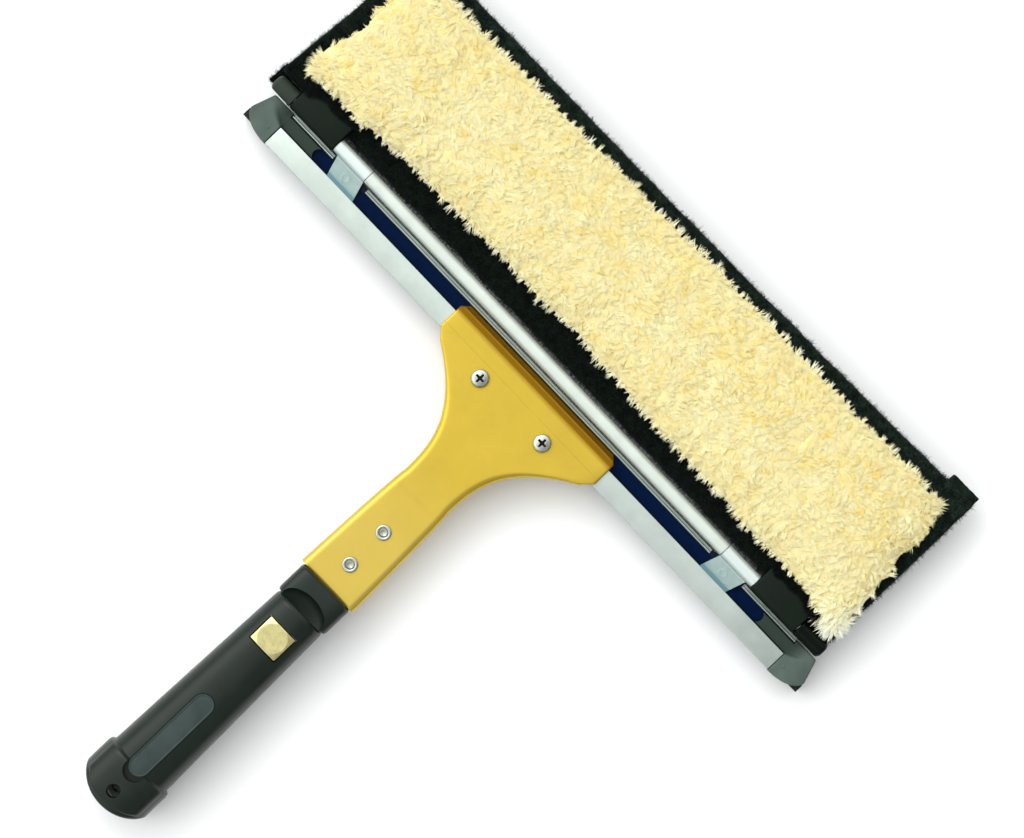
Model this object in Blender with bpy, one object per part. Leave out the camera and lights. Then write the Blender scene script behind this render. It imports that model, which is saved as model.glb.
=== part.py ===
"""Window squeegee with a flip-over washer: how it is built.

Metres, +Z up. The tool lies flat, blade down. The origin is the middle of the rubber blade's
wiping edge. +X runs along the blade, +Y points to the washer and -Y to the butt of the grip.
"""

import math

import bmesh
import bpy
from mathutils import Vector

# Clearances
GAP = 0.0003            # between pieces that touch
SIDES = 24              # facets round a turned piece

# Rubber blade and the channel that holds it
BLADE_LENGTH = 0.3568
BLADE_PROUD = 0.0009    # each tip of the rubber past its end plug
BLADE_REACH = 0.0090    # how far the rubber stands below the channel
BLADE_THICK = 0.0042
BLADE_EDGE = 0.0024
BLADE_TAPER = 0.6       # share of the reach that tapers
NECK_THICK = 0.0024     # rubber between the channel's lips
BEAD_WIDTH = 0.0050
BEAD_CHAMFER = 0.0010
CHANNEL_WALL = 0.0012
HOUSING_HEIGHT = 0.0090
STRIP_OVERHANG = 0.0020
TROUGH_WIDTH = 0.0066
TROUGH_DEPTH = 0.0050
LEDGE_THICK = 0.0026
LEDGE_DROP = 0.0022     # the ledge's top below the strip's top
CHANNEL_BEVEL = 0.00025

# Navy strip in the trough, and the end plugs
RECESS_SPARE = 0.0058   # the strip runs on past the outer clip
RECESS_THICK = 0.0006
PLUG_REACH = 0.0156     # how far a plug stands past the channel's end
PLUG_SLANT = 0.0037     # its front corner lies this much nearer
PLUG_WAIST_Y = 0.0034   # its widest place
PLUG_REAR_LIP = 0.0004  # how far it stands proud of the channel's rear face
PLUG_ROOM = 0.0004      # between its front and the caps
PLUG_ROUND = 0.0007
PLUG_TONGUE_ROOT = 0.0052
PLUG_TONGUE_DROP = 0.0008  # its tongue's top, below the strip's underside

# Hinge rod and what turns on it
ROD_RADIUS = 0.0018
TUBE_WALL = 0.00115
BARREL_RADIUS = 0.0042  # of the black blocks and caps
HINGE_RISE = 0.0006     # hinge axis above the channel's top
HINGE_OVERLAP = 0.0004  # the barrels reach this far over the ledge
WASHER_SHIFT = -0.0042  # the washer sits a little to the left
BLOCK_SET_BACK = 0.0002  # the blocks end this far inside the channel's half length
CLIP_LENGTH = 0.0193
CLIP_TAB_STEP = 0.0029  # the tab's outer edge, from its barrel's outer end
CLIP_TAB_LEAN = 0.0033
CLIP_SHEET = 0.0009
CLIP_BEND_IN = 0.0020   # the tab's bend, from the strip's front edge
CLIP_KNEE_IN = 0.00054  # the tab's knee beside the barrel
CLIP_KNEE_DROP = 0.0016
NOTCH_PLAY = 0.0010
BLOCK_LENGTH = 0.0271
BLOCK_HEEL = 0.0054     # how far the heel reaches below the axis
LUG_REACH = 0.0115      # upper lug, from the axis
TONGUE_REACH = 0.0150   # lower tongue in the sleeve's pocket, from the axis
CAP_LENGTH_LEFT = 0.0125
CAP_LENGTH_RIGHT = 0.0159
CAP_END_WALL = 0.0030
CAP_DOME = 0.0019
CAP_FLAT = 0.45         # share of the cap's end that is flat

# Washer: board, sleeve and pile
BOARD_THICK = 0.0040
BOARD_SPARE_LEFT = 0.0077   # the board runs on past the blocks
BOARD_SPARE_RIGHT = 0.0115
BOARD_DEPTH = 0.0800
SLEEVE_END = 0.0047     # sleeve past the board's ends
SLEEVE_FAR_END = 0.0042  # sleeve past the board's far edge
SLEEVE_SLANT = 0.0045   # its right corner reaches farther
SLEEVE_WALL = 0.0022
SLEEVE_ROUND = 0.0025
LUG_THICK = 0.0025
CORNER_TAB_WIDTH = 0.0170
CORNER_TAB_REACH = 0.0038
CORNER_TAB_THICK = 0.0050
PILE_INSET_LEFT = 0.0035    # bare sleeve round the pile
PILE_INSET_RIGHT = 0.0022
PILE_INSET_FAR_LEFT = 0.0045
PILE_INSET_FAR_RIGHT = 0.0060
PILE_LUG_ROOM = 0.0015  # between the blocks' lugs and the pile
PILE_CORNER = 0.0100
PILE_HEIGHT = 0.0135
PILE_PROFILE = (        # share of the height, and how far the side is drawn in there
    (0.0, 0.0020), (0.14, 0.0), (0.50, 0.0004), (0.78, 0.0018), (0.93, 0.0050), (1.0, 0.0110),
)
RIVET_SHANK = 0.0012
RIVET_HEAD = 0.0020
RIVET_HEAD_THICK = 0.0006
RIVET_SPACING = 0.0160

# Gold bracket: two pressed shells
SHELL_WALL = 0.0018
HEAD_HALF = 0.0492
HEAD_SHOULDER = 0.0030  # straight sides end this far behind the blade
HEAD_CHAMFER_X = 0.0048
HEAD_CHAMFER_Y = 0.0054
LIP_CHAMFER = 0.0033
WAIST_HALF = 0.0138
WAIST_Y = -0.0590
FLARE_POWER = 2.75
NECK_END_HALF = 0.0163
NECK_LENGTH = 0.0607    # from the waist to the grip
NECK_POWER = 0.6
NECK_HALF_HEIGHT = 0.0070
SHELL_ROUND = 0.0032
SHELL_RISE_LENGTH = 0.0400
SHELL_CORNER = 0.6      # the most of a skin's height that its corner may take
STATION_CROWDING = 1.15
FACET_START = 0.0007    # past the strip's front edge, where the lip turns down
LIP_THICK = 0.0016
LIP_CURVE = 1.15
LIP_ROUND = 0.0009
PLATE_RELIEF = 0.0001   # shallow relief under the solid lip and jaw
JAW_REACH = 0.0015      # how far the lower jaw hooks under the channel
JAW_THICK = 0.0018
JAW_ROUND = 0.0006
JAW_WALL = 0.0066

# Screws, nuts and rivets of the bracket
SCREW_SPREAD = 0.0398
SCREW_SET_BACK = 0.0028  # the screws' axes behind the channel
SCREW_SHANK = 0.00175
SCREW_HEAD = 0.0042
SCREW_HEAD_HEIGHT = 0.0024
SCREW_SIDE = 0.3        # share of the head's height that stands straight
SCREW_CROWN = 0.25      # share of the head's radius that is flat on top
CROSS_HALF = 0.0024
CROSS_WIDTH = 0.0010
CROSS_DEPTH = 0.0012
NUT_ACROSS = 0.0060
NUT_HEIGHT = 0.0024
TUBE_RIVET_INSET = 0.0140   # the rear rivet, from the neck's end
TUBE_RIVET_SPACING = 0.0205
TUBE_RIVET_HEAD = 0.0036
TUBE_RIVET_SHANK = 0.0026
TUBE_RIVET_BORE = 0.0020
TUBE_RIVET_RIM = 0.0007
TUBE_RIVET_TAPER = 0.8
TUBE_RIVET_DEPTH = 0.0045

# Grip: a pole socket and the walls round it
SOCKET_RADIUS = 0.0100
SEAT_STEP = 0.0020      # the seat's ring inside the socket
SEAT_RISE = 0.0010
NOSE_RADIUS = 0.0049
NOSE_WALL = 0.0068      # from the socket's end to the latch well
GRIP_FRONT_WALL = 0.0036
GRIP_REAR_SIDE_WALL = 0.0062
GRIP_REAR_TOP_WALL = 0.0048
RIM_SIDE_WALL = 0.0081
RIM_TOP_WALL = 0.0065
GRIP_LENGTH = 0.0980    # from the shoulder to the butt rim
RIM_FLARE = 0.0022
RIM_LENGTH = 0.0160
BUTT_BULGE = 0.0081
TONGUE_TIP = 0.0052     # the grip's tongue past the front rivet
TONGUE_SIDE_ROOM = 0.0018
SHOULDER_LENGTH = 0.0160
SHOULDER_HALF = 0.01465
SHOULDER_ROUND = 0.0020
SHOULDER_TOP = 0.0110   # above the grip's axis
SHOULDER_BOTTOM = 0.0105
TONGUE_SQUARENESS = 6.0  # how square each section of the grip is, 2 being an ellipse
SHOULDER_SQUARENESS = 4.5
BODY_SQUARENESS = 2.5
RIM_SQUARENESS = 2.8
SADDLE_MARGIN = 0.00185
SADDLE_LENGTH = 0.0085
SADDLE_DEPTH = 0.0045
SADDLE_SWEEP = 84.0     # degrees
HANG_HOLE_RADIUS = 0.0032
HANG_HOLE_INSET = 0.0087
INLAY_WIDTH = 0.0102
INLAY_LENGTH = 0.0486
INLAY_OVERRUN = 0.0046  # the inlay runs on into the rim
INLAY_DEPTH = 0.0022
INLAY_SPARE = 0.0029    # the pocket runs on past the inlay

# Brass latch button
BUTTON_SET_BACK = 0.0166  # from the shoulder's end
BUTTON_LENGTH = 0.0150
BUTTON_WIDTH = 0.0132
BUTTON_PROUD = 0.0007
BUTTON_FACE = 0.0069
BUTTON_SLOPE = 0.42
BUTTON_TRAVEL = 0.0030
WINDOW_PLAY = 0.0002    # round the pole's nose
YOKE_BAR = 0.0030
WELL_FLOOR = 0.0018     # wall left under the spring
LATCH_PIN_RADIUS = 0.0010
LATCH_PIN_RISE = 0.0080  # above the grip's axis
LATCH_PIN_OVERHANG = 0.0040  # past the button's sides
SPRING_RADIUS = 0.0036
SPRING_WIRE = 0.00035
SPRING_TURNS = 4
SPRING_FACETS = 14      # a turn

# Places that follow from the sizes above
HOUSING_BACK = -(BEAD_WIDTH / 2 + GAP + CHANNEL_WALL)
HOUSING_FRONT = -HOUSING_BACK
STRIP_FRONT = HOUSING_FRONT + STRIP_OVERHANG
LEDGE_BACK = STRIP_FRONT + TROUGH_WIDTH
LEDGE_FRONT = LEDGE_BACK + LEDGE_THICK
HOUSING_BOTTOM = BLADE_REACH
STRIP_TOP = HOUSING_BOTTOM + HOUSING_HEIGHT
STRIP_UNDER = STRIP_TOP - CHANNEL_WALL
FLOOR_TOP = STRIP_TOP - TROUGH_DEPTH
FLOOR_BOTTOM = FLOOR_TOP - CHANNEL_WALL
LEDGE_TOP = STRIP_TOP - LEDGE_DROP
CHANNEL_HALF = BLADE_LENGTH / 2 - BLADE_PROUD - PLUG_REACH - GAP
TROUGH_MIDDLE = (STRIP_FRONT + LEDGE_BACK) / 2
RECESS_HALF_WIDTH = TROUGH_WIDTH / 2 - GAP
RECESS_TOP = FLOOR_TOP + GAP + RECESS_THICK

BORE_RADIUS = ROD_RADIUS + GAP
TUBE_RADIUS = BORE_RADIUS + TUBE_WALL
HINGE_Y = LEDGE_FRONT + BARREL_RADIUS - HINGE_OVERLAP
HINGE_Z = STRIP_TOP + HINGE_RISE
PLUG_FRONT = HINGE_Y - BARREL_RADIUS - PLUG_ROOM
PLUG_TONGUE_TOP = STRIP_UNDER - PLUG_TONGUE_DROP
BLOCK_END = CHANNEL_HALF - BLOCK_SET_BACK
BLOCK_START = BLOCK_END - BLOCK_LENGTH
CLIP_END = BLOCK_START - GAP
CLIP_START = CLIP_END - CLIP_LENGTH
RECESS_HALF = CLIP_END + abs(WASHER_SHIFT) + RECESS_SPARE
ROD_LEFT = BLOCK_END + CAP_LENGTH_LEFT - CAP_END_WALL
ROD_RIGHT = BLOCK_END + CAP_LENGTH_RIGHT - CAP_END_WALL

LUG_TOP = HINGE_Z + BARREL_RADIUS
SLEEVE_TOP = LUG_TOP - LUG_THICK - GAP
POCKET_TOP = SLEEVE_TOP - SLEEVE_WALL
BOARD_TOP = POCKET_TOP - GAP
BOARD_BOTTOM = BOARD_TOP - BOARD_THICK
POCKET_BOTTOM = BOARD_BOTTOM - GAP
SLEEVE_BOTTOM = POCKET_BOTTOM - SLEEVE_WALL
BOARD_STEP = (BOARD_TOP + BOARD_BOTTOM) / 2
SLEEVE_NEAR = HINGE_Y + BARREL_RADIUS + GAP
BOARD_NEAR = SLEEVE_NEAR + GAP
BOARD_FAR = BOARD_NEAR + BOARD_DEPTH
BOARD_LEFT = WASHER_SHIFT - BLOCK_END - BOARD_SPARE_LEFT
BOARD_RIGHT = WASHER_SHIFT + BLOCK_END + BOARD_SPARE_RIGHT
SLEEVE_LEFT = BOARD_LEFT - SLEEVE_END
SLEEVE_RIGHT = BOARD_RIGHT + SLEEVE_END
SLEEVE_FAR_LEFT = BOARD_FAR + SLEEVE_FAR_END
SLEEVE_FAR_RIGHT = SLEEVE_FAR_LEFT + SLEEVE_SLANT
PILE_LEFT = SLEEVE_LEFT + PILE_INSET_LEFT
PILE_RIGHT = SLEEVE_RIGHT - PILE_INSET_RIGHT
PILE_NEAR = HINGE_Y + LUG_REACH + PILE_LUG_ROOM
PILE_FAR_LEFT = SLEEVE_FAR_LEFT - PILE_INSET_FAR_LEFT
PILE_FAR_RIGHT = SLEEVE_FAR_RIGHT - PILE_INSET_FAR_RIGHT

GRIP_FRONT_HALF = SOCKET_RADIUS + GRIP_FRONT_WALL
GRIP_REAR_HALF = SOCKET_RADIUS + GRIP_REAR_SIDE_WALL
GRIP_REAR_HEIGHT = SOCKET_RADIUS + GRIP_REAR_TOP_WALL
RIM_HALF = SOCKET_RADIUS + RIM_SIDE_WALL
RIM_HEIGHT = SOCKET_RADIUS + RIM_TOP_WALL
GRIP_AXIS_Z = RIM_HEIGHT

SEAM_FRONT = STRIP_UNDER - GAP
SHELL_FRONT_UNDER = STRIP_TOP + GAP
SHELL_FRONT_TOP = SHELL_FRONT_UNDER + SHELL_WALL
SHELL_REAR_TOP = GRIP_AXIS_Z + NECK_HALF_HEIGHT
SHELL_REAR_BOTTOM = GRIP_AXIS_Z - NECK_HALF_HEIGHT
LIP_FRONT = LEDGE_BACK - GAP
LIP_BOTTOM = RECESS_TOP + GAP
JAW_TOP = HOUSING_BOTTOM - GAP
JAW_BOTTOM = JAW_TOP - JAW_THICK
JAW_BACK = HOUSING_BACK - GAP
SCREW_Y = JAW_BACK - SCREW_SET_BACK
NECK_END_Y = WAIST_Y - NECK_LENGTH
TUBE_RIVET_REAR_Y = NECK_END_Y + TUBE_RIVET_INSET
TUBE_RIVET_FRONT_Y = TUBE_RIVET_REAR_Y + TUBE_RIVET_SPACING

GRIP_START_Y = NECK_END_Y - GAP
BODY_START_Y = GRIP_START_Y - SHOULDER_LENGTH
RIM_START_Y = BODY_START_Y - GRIP_LENGTH
RIM_END_Y = RIM_START_Y - RIM_LENGTH
BUTT_Y = RIM_END_Y - BUTT_BULGE
GRIP_TONGUE_TIP_Y = TUBE_RIVET_FRONT_Y + TONGUE_TIP
TONGUE_HALF_HEIGHT = NECK_HALF_HEIGHT - SHELL_WALL - GAP
BUTTON_Y = BODY_START_Y - BUTTON_SET_BACK
SOCKET_END_Y = BUTTON_Y - BUTTON_WIDTH / 2 - NOSE_WALL
SEAT_Y = SOCKET_END_Y - SEAT_RISE
WINDOW_RADIUS = NOSE_RADIUS + WINDOW_PLAY
HANG_HOLE_Y = BUTT_Y + HANG_HOLE_INSET
INLAY_END_Y = RIM_START_Y - INLAY_OVERRUN
INLAY_START_Y = INLAY_END_Y + INLAY_LENGTH
SADDLE_HALF = SHOULDER_HALF - SADDLE_MARGIN


def clear_scene():
    """Remove what the scene holds."""
    for item in list(bpy.data.objects):
        bpy.data.objects.remove(item, do_unlink=True)


def finish(name, colour, roughness, metallic=0.0):
    """A plain Principled material."""
    material = bpy.data.materials.new(name)
    material.use_nodes = True
    shader = material.node_tree.nodes["Principled BSDF"]
    shader.inputs["Base Color"].default_value = (*colour, 1.0)
    shader.inputs["Roughness"].default_value = roughness
    shader.inputs["Metallic"].default_value = metallic
    material.diffuse_color = (*colour, 1.0)
    return material


def place(axis, along, across, up):
    """A point from its place along an axis and its two places across it, in X, Y, Z order."""
    if axis == "X":
        return Vector((along, across, up))
    if axis == "Y":
        return Vector((across, along, up))
    return Vector((across, up, along))


def loft(rings):
    """A closed body through rings with equal numbers of points, with flat ends."""
    body = bmesh.new()
    loops = [[body.verts.new(point) for point in ring] for ring in rings]
    for near, far in zip(loops, loops[1:]):
        for first in range(len(near)):
            second = (first + 1) % len(near)
            body.faces.new((near[first], near[second], far[second], far[first]))
    body.faces.new(loops[0])
    body.faces.new(loops[-1])
    bmesh.ops.recalc_face_normals(body, faces=body.faces)
    return body


def prism(outline, axis, low, high):
    """An outline of (across, up) pairs carried along an axis."""
    return loft([[place(axis, along, across, up) for across, up in outline] for along in (low, high)])


def block(low, high):
    """A box between two corners."""
    outline = [(low[1], low[2]), (high[1], low[2]), (high[1], high[2]), (low[1], high[2])]
    return prism(outline, "X", low[0], high[0])


def turned(profile, axis, across, up, sides=SIDES):
    """A turned body. The profile is (along, radius) pairs, from axis to axis or a closed ring."""
    body = bmesh.new()
    stations = []
    for along, radius in profile:
        if radius == 0:
            stations.append([body.verts.new(place(axis, along, across, up))])
            continue
        angles = [2 * math.pi * step / sides for step in range(sides)]
        stations.append([
            body.verts.new(place(axis, along, across + radius * math.cos(angle),
                                 up + radius * math.sin(angle)))
            for angle in angles
        ])
    pairs = list(zip(stations, stations[1:]))
    if profile[0][1] != 0:
        pairs.append((stations[-1], stations[0]))
    for near, far in pairs:
        for first in range(sides):
            second = (first + 1) % sides
            corners = [near[first % len(near)], near[second % len(near)],
                       far[second % len(far)], far[first % len(far)]]
            body.faces.new(list(dict.fromkeys(corners)))
    bmesh.ops.recalc_face_normals(body, faces=body.faces)
    return body


def rod(axis, across, up, radius, low, high, sides=SIDES):
    """A plain round bar."""
    return turned([(low, 0), (low, radius), (high, radius), (high, 0)], axis, across, up, sides)


def ring(axis, across, up, outer, inner, low, high):
    """A plain round tube."""
    profile = [(low, inner), (low, outer), (high, outer), (high, inner)]
    return turned(profile, axis, across, up)


def arc(across, up, radius, start, end, steps):
    """Points on an arc, from one angle to another in degrees."""
    points = []
    for step in range(steps + 1):
        angle = math.radians(start + (end - start) * step / steps)
        points.append((across + radius * math.cos(angle), up + radius * math.sin(angle)))
    return points


def stadium(middle, half_length, half_width):
    """A round-ended outline along X, centred on (x, y), as (x, y) pairs."""
    reach = half_length - half_width
    right = arc(middle[0] + reach, middle[1], half_width, -90, 90, 10)
    left = arc(middle[0] - reach, middle[1], half_width, 90, 270, 10)
    return right + left


def add(name, body, material, parent=None):
    """Link a body as a named object, with its origin on its parent's."""
    if parent:
        bmesh.ops.translate(body, verts=body.verts, vec=-parent.location)
    mesh = bpy.data.meshes.new(name)
    body.to_mesh(mesh)
    body.free()
    mesh.shade_smooth()
    mesh.set_sharp_from_angle(angle=math.radians(35))
    item = bpy.data.objects.new(name, mesh)
    bpy.context.scene.collection.objects.link(item)
    item.parent = parent
    if material:
        mesh.materials.append(material)
    return item


def combine(item, body, operation, label):
    """Cut a body from an object, join it on or keep what both share."""
    tool = add(f"{item.name}_{label}", body, None)
    tool.hide_render = True
    tool.display_type = "WIRE"
    modifier = item.modifiers.new(label, "BOOLEAN")
    modifier.operation = operation
    modifier.solver = "EXACT"
    modifier.object = tool
    return tool


def cut(item, body, label):
    """Take a body out of an object."""
    combine(item, body, "DIFFERENCE", label)


def join(item, body, label):
    """Join a body onto an object."""
    combine(item, body, "UNION", label)


def soften(item, width, segments=2):
    """Round the sharp edges a little."""
    modifier = item.modifiers.new("rounded edges", "BEVEL")
    modifier.width = width
    modifier.segments = segments
    modifier.limit_method = "ANGLE"
    modifier.angle_limit = math.radians(40)


def pivot(name, x, y, z):
    """An empty on a joint's axis."""
    empty = bpy.data.objects.new(name, None)
    empty.location = (x, y, z)
    bpy.context.scene.collection.objects.link(empty)
    return empty


# Channel and blade

def build_channel(material, parent):
    """The extruded section: a housing for the rubber, a trough and a front ledge."""
    lip_top = HOUSING_BOTTOM + CHANNEL_WALL
    slot = NECK_THICK / 2 + GAP
    inside = BEAD_WIDTH / 2 + GAP
    outline = [
        (HOUSING_BACK, HOUSING_BOTTOM), (HOUSING_BACK, STRIP_TOP),
        (STRIP_FRONT, STRIP_TOP), (STRIP_FRONT, STRIP_UNDER),
        (HOUSING_FRONT, STRIP_UNDER), (HOUSING_FRONT, FLOOR_TOP),
        (LEDGE_BACK, FLOOR_TOP), (LEDGE_BACK, LEDGE_TOP),
        (LEDGE_FRONT, LEDGE_TOP), (LEDGE_FRONT, FLOOR_BOTTOM),
        (HOUSING_FRONT, FLOOR_BOTTOM), (HOUSING_FRONT, HOUSING_BOTTOM),
        (slot, HOUSING_BOTTOM), (slot, lip_top),
        (inside, lip_top), (inside, STRIP_UNDER),
        (-inside, STRIP_UNDER), (-inside, lip_top),
        (-slot, lip_top), (-slot, HOUSING_BOTTOM),
    ]
    channel = add("channel", prism(outline, "X", -CHANNEL_HALF, CHANNEL_HALF), material, parent)
    soften(channel, CHANNEL_BEVEL)
    for label, side in (("notch_left", -1), ("notch_right", 1)):
        outer = WASHER_SHIFT + side * (CLIP_END + NOTCH_PLAY)
        inner = WASHER_SHIFT + side * (CLIP_START - CLIP_TAB_LEAN - NOTCH_PLAY)
        low = (min(outer, inner), LEDGE_BACK - GAP, FLOOR_TOP)
        high = (max(outer, inner), LEDGE_FRONT + GAP, LEDGE_TOP + GAP)
        cut(channel, block(low, high), label)


def build_recess_strip(material, parent):
    """The thin strip in the trough, with round ends."""
    outline = stadium((0, TROUGH_MIDDLE), RECESS_HALF, RECESS_HALF_WIDTH)
    add("recess_strip", prism(outline, "Z", FLOOR_TOP + GAP, RECESS_TOP), material, parent)


def build_end_plug(name, side, material, parent):
    """A moulded end: a cap past the channel's end, and a tongue in the trough."""
    start = CHANNEL_HALF + GAP
    rear = HOUSING_BACK - PLUG_REAR_LIP
    outline = [(side * start, PLUG_FRONT), (side * (start + PLUG_REACH - PLUG_SLANT), PLUG_FRONT)]
    for step in range(13):
        turn = math.pi / 2 * step / 12
        across = start + PLUG_REACH * math.cos(turn)
        outline.append((side * across, PLUG_WAIST_Y + (rear - PLUG_WAIST_Y) * math.sin(turn)))
    plug = add(name, prism(outline, "Z", HOUSING_BOTTOM, STRIP_TOP), material, parent)
    soften(plug, PLUG_ROUND, 3)
    round_centre = RECESS_HALF - RECESS_HALF_WIDTH
    ends = sorted((side * (round_centre + GAP), side * (start + PLUG_TONGUE_ROOT)))
    low = (ends[0], HOUSING_FRONT + GAP, FLOOR_TOP + GAP)
    high = (ends[1], LEDGE_BACK - GAP, PLUG_TONGUE_TOP)
    join(plug, block(low, high), "tongue")
    hollow = rod("Z", side * round_centre, TROUGH_MIDDLE, TROUGH_WIDTH / 2, FLOOR_TOP, STRIP_TOP)
    cut(plug, hollow, "hollow_end")


def build_blade(material, parent):
    """The rubber: a bead in the housing, a thin neck and a tapering blade."""
    bead_low = HOUSING_BOTTOM + CHANNEL_WALL + GAP
    bead_high = STRIP_UNDER - GAP
    shoulder = HOUSING_BOTTOM - GAP
    right = [
        (BLADE_EDGE / 2, 0), (BLADE_THICK / 2, shoulder * BLADE_TAPER), (BLADE_THICK / 2, shoulder),
        (NECK_THICK / 2, shoulder), (NECK_THICK / 2, bead_low), (BEAD_WIDTH / 2, bead_low),
        (BEAD_WIDTH / 2, bead_high - BEAD_CHAMFER), (BEAD_WIDTH / 2 - BEAD_CHAMFER, bead_high),
    ]
    outline = right + [(-across, up) for across, up in reversed(right)]
    half = BLADE_LENGTH / 2
    blade = add("rubber_blade", prism(outline, "X", -half, half), material, parent)
    for label, side in (("bead_end_left", -1), ("bead_end_right", 1)):
        ends = sorted((side * CHANNEL_HALF, side * (half + GAP)))
        low = (ends[0], -BEAD_WIDTH, shoulder)
        high = (ends[1], BEAD_WIDTH, STRIP_TOP)
        cut(blade, block(low, high), label)


# Hinge

def build_clip(name, side, material, parent):
    """A sheet clip: a barrel on the rod, and a leaning tab that tucks under the strip."""
    start = WASHER_SHIFT + side * CLIP_START
    end = WASHER_SHIFT + side * CLIP_END
    barrel = ring("X", HINGE_Y, HINGE_Z, TUBE_RADIUS, BORE_RADIUS, min(start, end), max(start, end))
    clip = add(name, barrel, material, parent)
    wall = (TUBE_RADIUS + BORE_RADIUS) / 2
    root = (HINGE_Y - wall, HINGE_Z)
    bend = (STRIP_FRONT + CLIP_BEND_IN, RECESS_TOP + GAP + CLIP_SHEET / 2)
    tip = (HOUSING_FRONT + 2 * GAP, STRIP_UNDER - GAP - CLIP_SHEET)
    knee = (root[0] - CLIP_KNEE_IN, HINGE_Z - CLIP_KNEE_DROP)
    line = [root, knee, bend, tip]
    upper = [(across, up + CLIP_SHEET / 2) for across, up in line[2:]]
    lower = [(across, up - CLIP_SHEET / 2) for across, up in line[2:]]
    outer = [(root[0] - CLIP_SHEET / 2, root[1]), (knee[0] - CLIP_SHEET / 2, knee[1] + CLIP_SHEET / 3)]
    inner = [(root[0] + CLIP_SHEET / 2, root[1]), (knee[0] + CLIP_SHEET / 2, knee[1] - CLIP_SHEET / 3)]
    outline = outer + upper + list(reversed(inner + lower))
    tab_end = end - side * CLIP_TAB_STEP
    tab = prism(outline, "X", min(start, tab_end), max(start, tab_end))
    for corner in tab.verts:
        reach = max(0.0, knee[0] - corner.co.y)
        corner.co.x -= side * CLIP_TAB_LEAN * reach / (knee[0] - tip[0])
    join(clip, tab, "tab")


def build_hinge_tube(material, parent):
    """The spacer tube on the rod, between the two clips."""
    low = WASHER_SHIFT - CLIP_START + GAP
    high = WASHER_SHIFT + CLIP_START - GAP
    add("hinge_tube", ring("X", HINGE_Y, HINGE_Z, TUBE_RADIUS, BORE_RADIUS, low, high), material, parent)


def build_rod(material, parent):
    """The steel rod through the whole hinge."""
    low = WASHER_SHIFT - ROD_LEFT
    high = WASHER_SHIFT + ROD_RIGHT
    add("pivot_pin", rod("X", HINGE_Y, HINGE_Z, ROD_RADIUS, low, high), material, parent)


def build_block(name, side, material, parent):
    """A pivot block: a round barrel with a heel, a lug over the sleeve and a tongue inside it."""
    front = LEDGE_FRONT + GAP
    heel = HINGE_Z - BLOCK_HEEL
    back = SLEEVE_NEAR - GAP
    meet = math.degrees(math.acos((front - HINGE_Y) / BARREL_RADIUS))
    outline = arc(HINGE_Y, HINGE_Z, BARREL_RADIUS, 90, 360 - meet, 14)
    outline += [
        (front, heel), (back, heel),
        (back, BOARD_STEP + GAP), (HINGE_Y + TONGUE_REACH, BOARD_STEP + GAP),
        (HINGE_Y + TONGUE_REACH, BOARD_TOP), (back, BOARD_TOP),
        (back, SLEEVE_TOP + GAP), (HINGE_Y + LUG_REACH, SLEEVE_TOP + GAP),
        (HINGE_Y + LUG_REACH, LUG_TOP - LUG_THICK / 3), (HINGE_Y + LUG_REACH - LUG_THICK / 2, LUG_TOP),
    ]
    ends = sorted((WASHER_SHIFT + side * BLOCK_START, WASHER_SHIFT + side * BLOCK_END))
    item = add(name, prism(outline, "X", ends[0], ends[1]), material, parent)
    bore = rod("X", HINGE_Y, HINGE_Z, BORE_RADIUS, ends[0] - GAP, ends[1] + GAP)
    cut(item, bore, "bore")
    for number, hole in enumerate(rivet_spools(side, GAP)):
        cut(item, hole, f"rivet_hole_{number}")


def build_cap(name, side, length, material, parent):
    """A push-on cap with a round end and a blind bore for the rod."""
    start = BLOCK_END + GAP
    end = BLOCK_END + length
    profile = [(start, BORE_RADIUS), (start, BARREL_RADIUS - GAP), (start + GAP, BARREL_RADIUS)]
    for step in range(7):
        turn = math.pi / 2 * step / 6
        along = end - CAP_DOME + CAP_DOME * math.sin(turn)
        profile.append((along, BARREL_RADIUS * (CAP_FLAT + (1 - CAP_FLAT) * math.cos(turn))))
    bottom = end - CAP_END_WALL + GAP
    profile = [(bottom, 0), (bottom, BORE_RADIUS)] + profile + [(end, 0)]
    profile = [(WASHER_SHIFT + side * along, radius) for along, radius in profile]
    add(name, turned(profile, "X", HINGE_Y, HINGE_Z), material, parent)


# Washer pad

def rivet_places(side):
    """Where one block's two rivets stand, as (x, y) pairs."""
    middle = WASHER_SHIFT + side * (BLOCK_START + BLOCK_END) / 2
    across = (BOARD_NEAR + HINGE_Y + TONGUE_REACH) / 2
    return [(middle + sign * RIVET_SPACING / 2, across) for sign in (-1, 1)]


def spool(x, y, spare):
    """A rivet with a flat head at each end, wider all round by the spare."""
    low = BOARD_BOTTOM + GAP - 2 * spare
    high = BOARD_TOP - GAP + 2 * spare
    neck_low = BOARD_BOTTOM + GAP + RIVET_HEAD_THICK + spare
    neck_high = BOARD_TOP - GAP - RIVET_HEAD_THICK - spare
    head = RIVET_HEAD + spare
    shank = RIVET_SHANK + spare
    profile = [(low, 0), (low, head), (neck_low, head), (neck_low, shank),
               (neck_high, shank), (neck_high, head), (high, head), (high, 0)]
    return turned(profile, "Z", x, y, 16)


def rivet_spools(side, spare):
    """The two rivets of one block, or the room for them."""
    return [spool(x, y, spare) for x, y in rivet_places(side)]


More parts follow.
